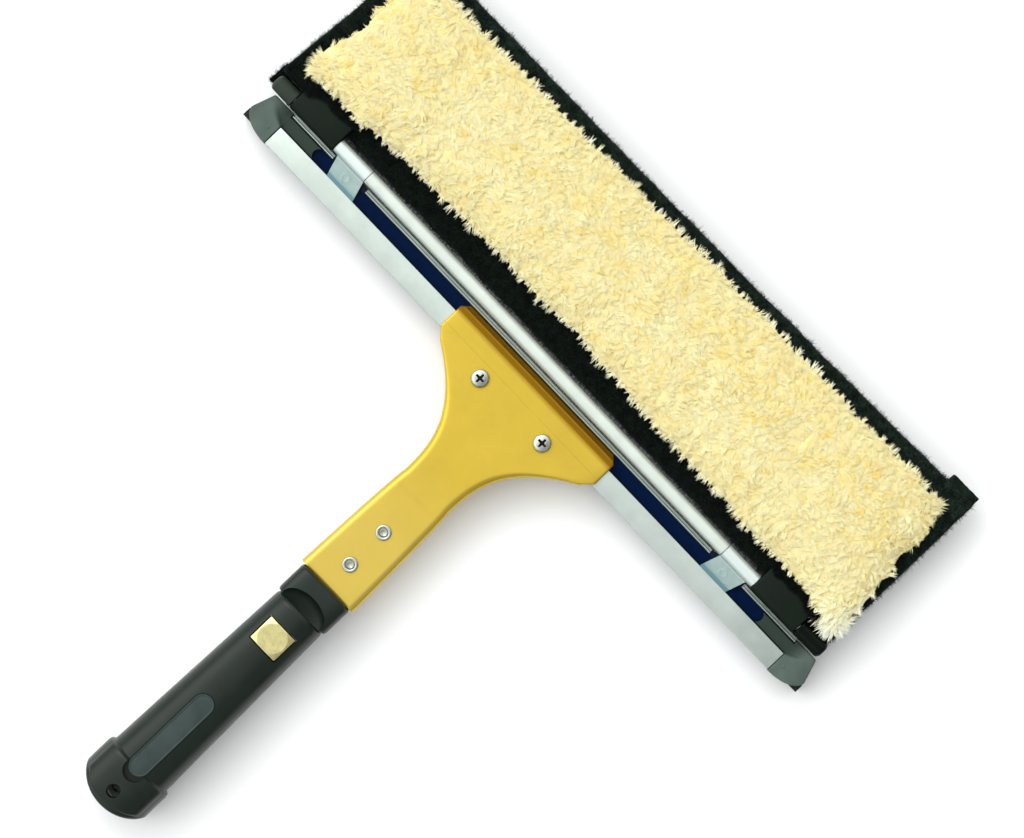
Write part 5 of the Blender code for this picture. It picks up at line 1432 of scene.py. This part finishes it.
def upper_shell_body(sizes):
    """The shell that faces the user.

    Its crown is two facets and a ridge at the lip, a light band, a fine crease and the main
    face; behind the head it eases up to the neck, with a faint step before the rivets.
    """
    lip, end = SHELL_HIGH[1], SHELL_LOW[1]
    under = CHANNEL_HIGH[2] + GAP
    top = under + sizes.wall
    lip_low = RECESS_HIGH[2] + GAP
    rear_face = CHANNEL_LOW[1] - GAP
    seam_front = CHANNEL_HIGH[2] - SEAM_DROP - GAP
    bend_y = 0.0063                 # where the inner face starts to follow the lip down
    front_y = np.linspace(lip, -0.0040, 110)
    crown = knots(front_y, (lip + 0.001, lip_low - 0.0008), (lip, lip_low + 0.0006),
                  (0.0102, top - 0.0024), (0.0097, top - 0.0023), (0.0069, top - 0.00012),
                  (-0.0009, top - 0.00002), (-0.0012, top - 0.00034), (-0.0015, top),
                  (-0.0060, top))
    lip_share = np.clip((front_y - bend_y) / (lip - 0.0016 - bend_y), 0.0, 1.0)
    floor = under + (lip_low - under) * lip_share
    front = shell_rings(front_y, crown, floor, floor + THIN, sizes.lip_round, sizes)
    rear_y = np.concatenate([np.linspace(rear_face, end + 0.0012, 118),
                             end + np.array([0.0008, 0.0004, 0.0001, 0.0])])
    height = eased(rear_y, top, SHELL_HIGH[2], sizes)
    step = 0.00012 * smooth_step(-0.0645, -0.0651, rear_y)
    fall = 0.0003 * smooth_step(end + 0.0008, end, rear_y)
    seam = eased(rear_y, seam_front, GRIP_AXIS_Z, sizes) + GAP / 2
    corner = sizes.lip_round + (sizes.edge_round - sizes.lip_round) * smooth_step(
        rear_face, rear_face - 0.0100, rear_y)
    back = shell_rings(rear_y, height - step - fall, seam, height - sizes.wall, corner, sizes)
    return lofted(np.concatenate([front, back]))


def lower_shell_body(sizes):
    """The other shell: a jaw under the channel, a solid wall behind it and a hollow neck."""
    jaw_low, jaw_top = 0.0069, 0.0087
    wall_depth = 0.0066
    rear_face = CHANNEL_LOW[1] - GAP
    seam_front = CHANNEL_HIGH[2] - SEAM_DROP - GAP
    bottom_rear = GRIP_AXIS_Z - 0.0070
    jaw_y = np.array([JAW_HIGH[1], JAW_HIGH[1] - 0.0002, rear_face + 0.0001])
    wall_y = np.linspace(rear_face, rear_face - wall_depth, 8)
    neck_y = np.linspace(rear_face - wall_depth - GAP, JAW_LOW[1], 100)
    wall_seam, neck_seam = (eased(y, seam_front, GRIP_AXIS_Z, sizes) - GAP / 2
                            for y in (wall_y, neck_y))
    low = eased(neck_y, jaw_low, bottom_rear, sizes)
    return lofted(np.concatenate([
        shell_rings(jaw_y, jaw_low, jaw_top, jaw_top - THIN, 0.0006, sizes),
        shell_rings(wall_y, jaw_low, wall_seam, wall_seam - THIN, sizes.edge_round, sizes),
        shell_rings(neck_y, low, neck_seam, low + sizes.wall, sizes.edge_round, sizes)]))


def bore_cutters():
    """Round cutters through the neck for the tubular rivets."""
    radius = 0.0029
    return [turned([(-0.01, radius), (0.05, radius)], "Z", 0.0,
                   centre_of(f"tube_rivet_{name}")[1], 48) for name in ("front", "rear")]


def screw_body(node, sizes):
    """A pan-head screw: polar rings, a domed head and a cross recess.

    The dome is a root curve over the radius; the recess is two crossed bars with steep walls.
    """
    low, high = box(node)
    x, y, _ = centre_of(node)
    head, head_height, shank = sizes.screw_head, 0.0024, 0.00175
    seat = high[2] - head_height
    angle = even_turn(120)[None, :]
    radius = np.concatenate([np.linspace(head, head * 0.86, 8),
                             np.linspace(head * 0.84, 0.00004, 44)])[:, None] + 0 * angle
    over = np.clip((radius / head - 0.25) / 0.75, 0.0, 1.0)
    dome = seat + head_height * (0.30 + 0.70 * np.sqrt(np.maximum(1 - over ** 2, 0.0)))
    across, along = radius * np.cos(angle), radius * np.sin(angle)

    def bar(length_way, width_way):
        """One bar of the cross, 1 inside it and 0 outside."""
        width = 0.00058 - 0.10 * np.abs(length_way)
        return (smooth_step(0.0024, 0.0019, np.abs(length_way))
                * smooth_step(0.00012, -0.00010, np.abs(width_way) - width))

    cross = np.maximum(bar(across, along), bar(along, across))
    slope = smooth_step(0.0028, 0.0008, radius)
    upper = points_of(x + across, y + along, dome - cross * (0.0007 + 0.0009 * slope))
    place, reach = np.array([(low[2], 0.0013), (low[2] + 0.0003, shank), (seat, shank),
                             (seat, head - 0.0002), (seat + 0.0002, head)]).T[..., None]
    lower = points_of(x + reach * np.cos(angle), y + reach * np.sin(angle), place)
    # The pattern makes the cross recess nearly black.
    recess_darkness = np.concatenate([np.zeros(lower.shape[:2]), smooth_step(0.25, 0.95, cross)])
    return lofted(np.concatenate([lower, upper])), points_of(recess_darkness, recess_darkness).reshape(-1, 2)


def rivet_body(node, sizes):
    """A tubular rivet: a rolled rim round a deep bore, turned about Z."""
    bottom, crown = (corner[2] for corner in box(node))
    head, bore, stem, roll_height, bore_depth = sizes.rivet_head, 0.0020, 0.0026, 0.0007, 0.0045
    floor, seat = crown - bore_depth, crown - roll_height
    turn = np.linspace(0.0, math.pi, 13)
    roll = np.stack([seat + roll_height * np.sin(turn),
                     (head + bore) / 2 - (head - bore) / 2 * np.cos(turn)], axis=-1)
    profile = np.vstack([
        [(floor, 0.00002), (floor, 0.0017), (crown - 0.0042, bore)], roll,
        [(seat, stem), (bottom + 0.0007, stem), (bottom + 0.0007, head),
         (bottom + 0.0002, head * 0.95), (bottom, head * 0.80), (bottom, 0.00002)]])
    return turned(profile, "Z", 0.0, centre_of(node)[1], 72)


class SQUEEGEE_OT_bracket(Operator):
    """Build both shells of the bracket, its screws and its tubular rivets."""
    bl_idname = "squeegee.bracket"
    bl_label = "Bracket"

    def execute(self, context):
        sizes = context.scene.squeegee_bracket
        gold = gold_lacquer("gold_lacquer", sizes.gold)
        nickel = plated_metal("nickel_plate", sizes.nickel, 0.20)
        # The screws' nickel is nearly black in their cross recesses.
        dark_recess = plated_metal("nickel_plate_dark_recess", sizes.nickel, 0.22, True)
        steel = plated_metal("plain_steel", sizes.steel, 0.34)
        for name, shape, sharp in (("upper", upper_shell_body(sizes), 22.0),
                                   ("lower", lower_shell_body(sizes), 30.0)):
            shell = new_piece(f"pressed_shell_{name}", shape, gold, "handle",
                              (f"{name}_shell",), sharp)
            with_holes(shell, bore_cutters(), sharp)
        for name in SIDES.values():
            node = f"clamp_screw_{name}"
            shape, pattern = screw_body(node, sizes)
            new_piece(f"pan_screw_{name}", shape, dark_recess, "handle", (node,), 40.0,
                      pattern)
            refinish(f"clamp_nut_{name}", steel)
        for name in ("front", "rear"):
            node = f"tube_rivet_{name}"
            new_piece(f"hollow_rivet_{name}", rivet_body(node, sizes), nickel, "handle", (node,),
                      50.0)
        return {"FINISHED"}


# Grip

def body_size(y, sizes):
    """Half the hand grip's width and height at a place along it, both straight lines."""
    start = GRIP_START - sizes.shoulder_length
    share = np.clip((start - y) / sizes.body_length, 0.0, 1.0)
    return (sizes.front_half + (sizes.rear_half - sizes.front_half) * share,
            sizes.front_half + (sizes.rear_height - sizes.front_half) * share)


def squared(value, power):
    """The sine or cosine curve of a superellipse: the value's root, with its sign kept."""
    return np.sign(value) * np.abs(value) ** (2.0 / power)


def grip_rings(y, half, top, bottom, power):
    """Superellipse sections across Y, each with its own half width, heights and squareness."""
    angle = even_turn(112)[None, :]
    power = np.broadcast_to(np.asarray(power, float), y.shape)[:, None]
    up = squared(np.sin(angle), power)
    z = GRIP_AXIS_Z + np.where(up > 0, top[:, None], bottom[:, None]) * up
    return points_of(half[:, None] * squared(np.cos(angle), power), y[:, None], z)


def grip_body(sizes):
    """The grip's skin: tongue, shoulder block, hand grip and butt rim.

    Beyond the rim's start the sections are stretched along Y to meet the butt's round end.
    """
    start = GRIP_START - sizes.shoulder_length
    rim_start, butt = start - sizes.body_length, GRIP_LOW[1]
    tip = GRIP_HIGH[1]
    tongue_y = np.array([tip, tip - 0.0004, tip - 0.0012, GRIP_START + 0.0001])
    tongue_half = np.array([0.0, 0.0004, 0.0006, 0.0006]) + 0.0101
    tongue_up = np.array([0.0042, 0.0047, 0.0049, 0.0049])
    tongue = grip_rings(tongue_y, tongue_half, tongue_up, tongue_up, 6.0)

    shoulder_y, inset = soft_run(-GRIP_START, -(start + GAP), 0.0020, 7)
    inset = np.where(-shoulder_y < GRIP_START - sizes.shoulder_length / 2, inset * 0.35, inset)
    shoulder = grip_rings(-shoulder_y, SHOULDER_HALF - inset, 0.0110 - inset, 0.0105 - inset, 4.5)

    body_y = start - sizes.body_length * np.linspace(0.0, 1.0, 110)
    half, height = body_size(body_y, sizes)
    soft = 0.0010 * (1 - smooth_step(0.0, 0.0014, start - body_y))
    body = grip_rings(body_y, half - soft, height - soft, height - soft, GRIP_POWER)

    depth = rim_start - butt
    run, draw = with_stations(*soft_run(0.0, depth, 0.0016, 8),
                              np.linspace(0.0030, depth - 0.0026, 30))
    flare = smooth_step(0.0, 0.0022, run)
    tail = np.where(run > depth / 2, draw, 0.0)
    rim_half = GRIP_HIGH[0]
    wide, tall = (last + (most - last) * flare - tail for last, most in zip(
        body_size(np.array([rim_start]), sizes), (rim_half, GRIP_HIGH[2] - GRIP_AXIS_Z)))
    rim = grip_rings(rim_start - run, wide, tall, tall, GRIP_POWER + 0.3 * flare)
    radius = (rim_half ** 2 + sizes.butt_bulge ** 2) / (2 * sizes.butt_bulge)
    x = rim[..., 0]
    end = butt + radius - np.sqrt(np.maximum(radius ** 2 - x ** 2, 0.0))
    share = (run / depth)[:, None]
    bulged = rim_start + (end - rim_start) * share
    rim[..., 1] = rim[..., 1] + (bulged - rim[..., 1]) * smooth_step(0.0, 0.6, share)
    band = smooth_step(rim_half - sizes.flange, rim_half - sizes.flange + 0.0009, np.abs(x))
    tail_band = smooth_step(end + sizes.flange, end + sizes.flange - 0.0009, rim[..., 1])
    band = np.maximum(band, tail_band) * flare[:, None] * (rim[..., 2] > GRIP_AXIS_Z)
    rim[..., 2] -= sizes.flange_drop * band
    return lofted(np.concatenate([tongue, shoulder, body, rim]))


def saddle_cutter(sizes):
    """The thumb scoop's cutter: half an ellipsoid with its flat face on the hand grip."""
    half_width, depth, half_height, lift = 0.0128, 0.0085, 0.0045, 0.0110
    turn = np.radians(np.linspace(0.0, 84.0, 18))[:, None]
    angle = even_turn(64)[None, :]
    start = GRIP_START - sizes.shoulder_length
    return lofted(points_of(half_width * np.cos(turn) * np.cos(angle),
                            start + depth * np.sin(turn),
                            GRIP_AXIS_Z + lift + half_height * np.cos(turn) * np.sin(angle)))


def plan_cutter(outline, low, high):
    """A plan outline carried straight up."""
    return lofted(points_of(outline[:, 0], outline[:, 1], np.array([[low], [high]])))


def round_ended(low, high, half, steps=40):
    """A round-ended outline along Y, from low to high."""
    angle = np.linspace(0.0, math.pi, steps)
    far = np.stack([half * np.cos(angle), high - half + half * np.sin(angle)], axis=-1)
    near = np.stack([-half * np.cos(angle), low + half - half * np.sin(angle)], axis=-1)
    return np.vstack([far, near])


def inlay_body(sizes):
    """The inlay: a round-ended plate whose top follows the grip's skin, with a raised rim."""
    low, high = INLAY_LOW[1], INLAY_HIGH[1]
    half = INLAY_HIGH[0]
    outline = resampled(round_ended(low, high, half), 0.0006)

    def height_at(x, y):
        """The superellipse's height at x and y, less a shallow field inside the rim."""
        wide, tall = body_size(y, sizes)
        skin = GRIP_AXIS_Z + tall * (1 - np.abs(x / wide) ** GRIP_POWER) ** (1 / GRIP_POWER)
        beyond = np.maximum(np.maximum(y - (high - half), (low + half) - y), 0.0)
        inside = half - np.hypot(x, beyond)
        field = smooth_step(sizes.inlay_rim, sizes.inlay_rim + 0.0004, inside)
        return np.minimum(skin, GRIP_AXIS_Z + sizes.rear_height) - 0.0003 - 0.00035 * field

    spine = points_of(0.0, np.clip(outline[:, 1], low + half, high - half))
    return crowned(outline, spine, INLAY_LOW[2], height_at, 0.0003, 22)


def button_body(sizes):
    """The latch button: a square block whose top falls away outside a round face."""
    soft, slope = 0.0003, 0.42
    outline = resampled(rounded(rectangle(BUTTON_LOW, BUTTON_HIGH), 0.0004), 0.00035)

    def height_at(x, y):
        """Flat to the face's edge, then a straight fall with a soft start."""
        past = np.hypot(x, y - BUTTON_Y) - sizes.face_radius
        fall = np.where(past > soft, past, (past + soft) ** 2 / (4 * soft)) * (past > -soft)
        return BUTTON_HIGH[2] - slope * fall

    return crowned(outline, np.array([0.0, BUTTON_Y]), BUTTON_LOW[2], height_at, 0.00025, 40)


def spring_body():
    """The latch's coil spring: the wire's ring carried along a helix of four even turns."""
    wire, turns = 0.00035, 4
    coil = (SPRING_HIGH[0] - SPRING_LOW[0]) / 2 - wire
    share = np.linspace(0.0, 1.0, 161)[:, None]
    turn = turns * FULL_TURN * share
    ring = even_turn(12)[None, :]
    out = coil + wire * np.cos(ring)
    climb = SPRING_LOW[2] + wire + (SPRING_HIGH[2] - SPRING_LOW[2] - 2 * wire) * share
    return lofted(points_of(out * np.cos(turn), BUTTON_Y + out * np.sin(turn),
                            climb + wire * np.sin(ring)))


def grip_cutters(context):
    """What is cut out of the grip: scoop, pole socket, button well, inlay pocket and holes."""
    sizes = context.scene.squeegee_grip
    top = GRIP_AXIS_Z + 0.030
    well_low = GRIP_AXIS_Z - body_size(np.array([BUTTON_Y]), sizes)[1][0] + 0.0018
    well = np.array(rectangle(BUTTON_LOW - sizes.well_gap, BUTTON_HIGH + sizes.well_gap))
    socket_end = BUTTON_Y - 0.0066 - 0.0068
    radius, ledge, nose = sizes.socket_radius, 0.0020, 0.0049
    socket = [(GRIP_LOW[1] - 0.01, radius), (socket_end, radius), (socket_end, radius - ledge),
              (socket_end - 0.0010, radius - ledge), (socket_end - 0.0010, nose),
              (BUTTON_Y, nose)]
    pocket = round_ended(INLAY_LOW[1] - 0.0029 - GAP, INLAY_HIGH[1] + GAP, INLAY_HIGH[0] + GAP)
    hang_y, hang_radius = GRIP_LOW[1] + 0.0087, 0.0032
    return [
        saddle_cutter(sizes),
        turned(socket, "Y", 0.0, GRIP_AXIS_Z, 72),
        plan_cutter(rounded(well, 0.0004, 3), well_low, top),
        plan_cutter(pocket, INLAY_LOW[2] - GAP, top),
        turned([(-0.01, hang_radius), (top, hang_radius)], "Z", 0.0, hang_y, 56),
        *bore_cutters(),
    ]


class SQUEEGEE_OT_grip(Operator):
    """Build the grip, its inlay and its latch button, and finish the latch's small parts."""
    bl_idname = "squeegee.grip"
    bl_label = "Grip"

    def execute(self, context):
        sizes = context.scene.squeegee_grip
        nylon = moulded_plastic("black_nylon_grip", sizes.black, 0.34, 0.00042, shine=0.29)
        grey = moulded_plastic("inlay_grey_plastic", sizes.inlay_grey, 0.48, 0.0005, 0.00003)
        brass = turned_brass("turned_brass", sizes.brass, (0.0, BUTTON_Y, BUTTON_HIGH[2]))
        steel = plated_metal("latch_steel", context.scene.squeegee_bracket.steel, 0.30)
        grip = new_piece("moulded_grip", grip_body(sizes), nylon, "handle", ("grip",),
                         30.0)
        with_holes(grip, grip_cutters(context), 32.0)
        new_piece("grip_plate", inlay_body(sizes), grey, "handle", ("grip_inlay",),
                  40.0)
        new_piece("brass_button", button_body(sizes), brass, "button", ("release_button",),
                  30.0)
        refinish("button_pin", steel)
        coil = new_piece("coil_spring", spring_body(), steel, "handle", ("button_spring",),
                         60.0)
        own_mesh(coil)
        return {"FINISHED"}


# Studio

def softbox(name, place, size, power):
    """A square area light at a place, turned to face the origin."""
    light = bpy.data.lights.new(name, "AREA")
    light.shape = "SQUARE"
    light.size = size
    light.energy = power
    lamp = put_in_scene(name, light)
    lamp.location = place
    lamp.rotation_euler = (-Vector(place)).to_track_quat("-Z", "Y").to_euler()


def photo_camera(studio):
    """The camera straight above its aim, turned, and as far up as the view's width asks."""
    camera_data = bpy.data.cameras.new("photo_camera")
    camera_data.lens = studio.lens
    camera_data.sensor_width = 36.0
    camera_data.sensor_fit = "HORIZONTAL"
    camera_data.clip_end = 20.0
    camera = put_in_scene("photo_camera", camera_data)
    distance = studio.view_width * studio.lens / camera_data.sensor_width
    camera.location = (studio.aim[0], studio.aim[1], studio.aim[2] + distance)
    camera.rotation_euler = (0.0, 0.0, studio.turn)
    return camera


def pale_sweep(studio):
    """The floor, a flat grid just under the tool."""
    reach = np.linspace(-4.0, 4.0, 3)
    points = points_of(*np.meshgrid(reach, reach, indexing="ij"), -0.0002).reshape(-1, 3)
    mesh = bpy.data.meshes.new("floor")
    mesh.from_pydata(points.tolist(), [], grid_faces(3, 3).tolist())
    mesh.flip_normals()
    mesh.materials.append(pale_floor("pale_floor", studio.floor))
    floor = put_in_scene("floor", mesh)
    return floor


def pale_surround(studio):
    """The world's light: shades of grey by height, made stronger towards the left side."""
    world = bpy.data.worlds.new("surround")
    world.use_nodes = True
    tree = world.node_tree
    way = add_node(tree, "ShaderNodeTexCoord").outputs["Generated"]
    split = add_node(tree, "ShaderNodeSeparateXYZ", {"Vector": way}).outputs
    shades = ((0.16, studio.horizon), (0.42, 0.94), (0.74, 0.97), (0.93, studio.zenith))
    dome = colour_ramp(tree, split["Z"],
                       [(place, (shade * 0.98, shade, shade)) for place, shade in shades])
    side = add_node(tree, "ShaderNodeMapRange", {
        "Value": split["X"], "From Min": -0.75, "From Max": 0.55, "To Min": 1.50,
        "To Max": 0.30}).outputs["Result"]
    lit = add_node(tree, "ShaderNodeVectorMath", operation="SCALE")
    feed(lit.inputs[0], dome)
    feed(lit.inputs["Scale"], side)
    background = tree.nodes["Background"].inputs
    feed(background["Color"], lit.outputs["Vector"])
    feed(background["Strength"], studio.world_strength)
    return world


class SQUEEGEE_OT_studio(Operator):
    """Set the camera straight above, the soft light and the pale floor."""
    bl_idname = "squeegee.studio"
    bl_label = "Studio"

    def execute(self, context):
        studio = context.scene.squeegee_studio
        context.scene.camera = photo_camera(studio)
        floor = pale_sweep(studio)
        context.scene.world = pale_surround(studio)
        context.scene.view_settings.view_transform = "Standard"
        softbox("overhead", (-0.6, 0.3, 3.0), 1.6, studio.softbox_power)
        softbox("key", (-1.6, 0.6, 1.9), 1.2, studio.key_power)
        return {"FINISHED"}


class SQUEEGEE_PT_panel(Panel):
    """The squeegee's pieces and settings, in the sidebar."""
    bl_label = "Squeegee"
    bl_idname = "SQUEEGEE_PT_panel"
    bl_space_type = "VIEW_3D"
    bl_region_type = "UI"
    bl_category = "Squeegee"

    def draw(self, context):
        layout = self.layout
        for operator in OPERATORS:
            layout.operator(operator.bl_idname)
        for label, group in SETTINGS.items():
            layout.label(text=label.title())
            settings = getattr(context.scene, f"squeegee_{label}")
            for key in group.__annotations__:
                layout.prop(settings, key)


OPERATORS = (SQUEEGEE_OT_channel, SQUEEGEE_OT_hinge, SQUEEGEE_OT_washer, SQUEEGEE_OT_bracket,
             SQUEEGEE_OT_grip, SQUEEGEE_OT_studio)
SETTINGS = {"channel": ChannelSettings, "hinge": HingeSettings, "washer": WasherSettings,
            "bracket": BracketSettings, "grip": GripSettings, "studio": StudioSettings}


def register():
    """Register the settings, the operators and the panel."""
    for label, group in SETTINGS.items():
        bpy.utils.register_class(group)
        setattr(bpy.types.Scene, f"squeegee_{label}", PointerProperty(type=group))
    for operator in OPERATORS:
        bpy.utils.register_class(operator)
    bpy.utils.register_class(SQUEEGEE_PT_panel)


def unregister():
    """Undo what register does."""
    bpy.utils.unregister_class(SQUEEGEE_PT_panel)
    for operator in reversed(OPERATORS):
        bpy.utils.unregister_class(operator)
    for label, group in SETTINGS.items():
        delattr(bpy.types.Scene, f"squeegee_{label}")
        bpy.utils.unregister_class(group)


def main():
    """Build the pieces in order."""
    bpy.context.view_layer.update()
    register()
    for operator in OPERATORS:
        group, name = operator.bl_idname.split(".")
        getattr(getattr(bpy.ops, group), name)()
    bpy.context.view_layer.update()


if __name__ == "__main__":
    main()
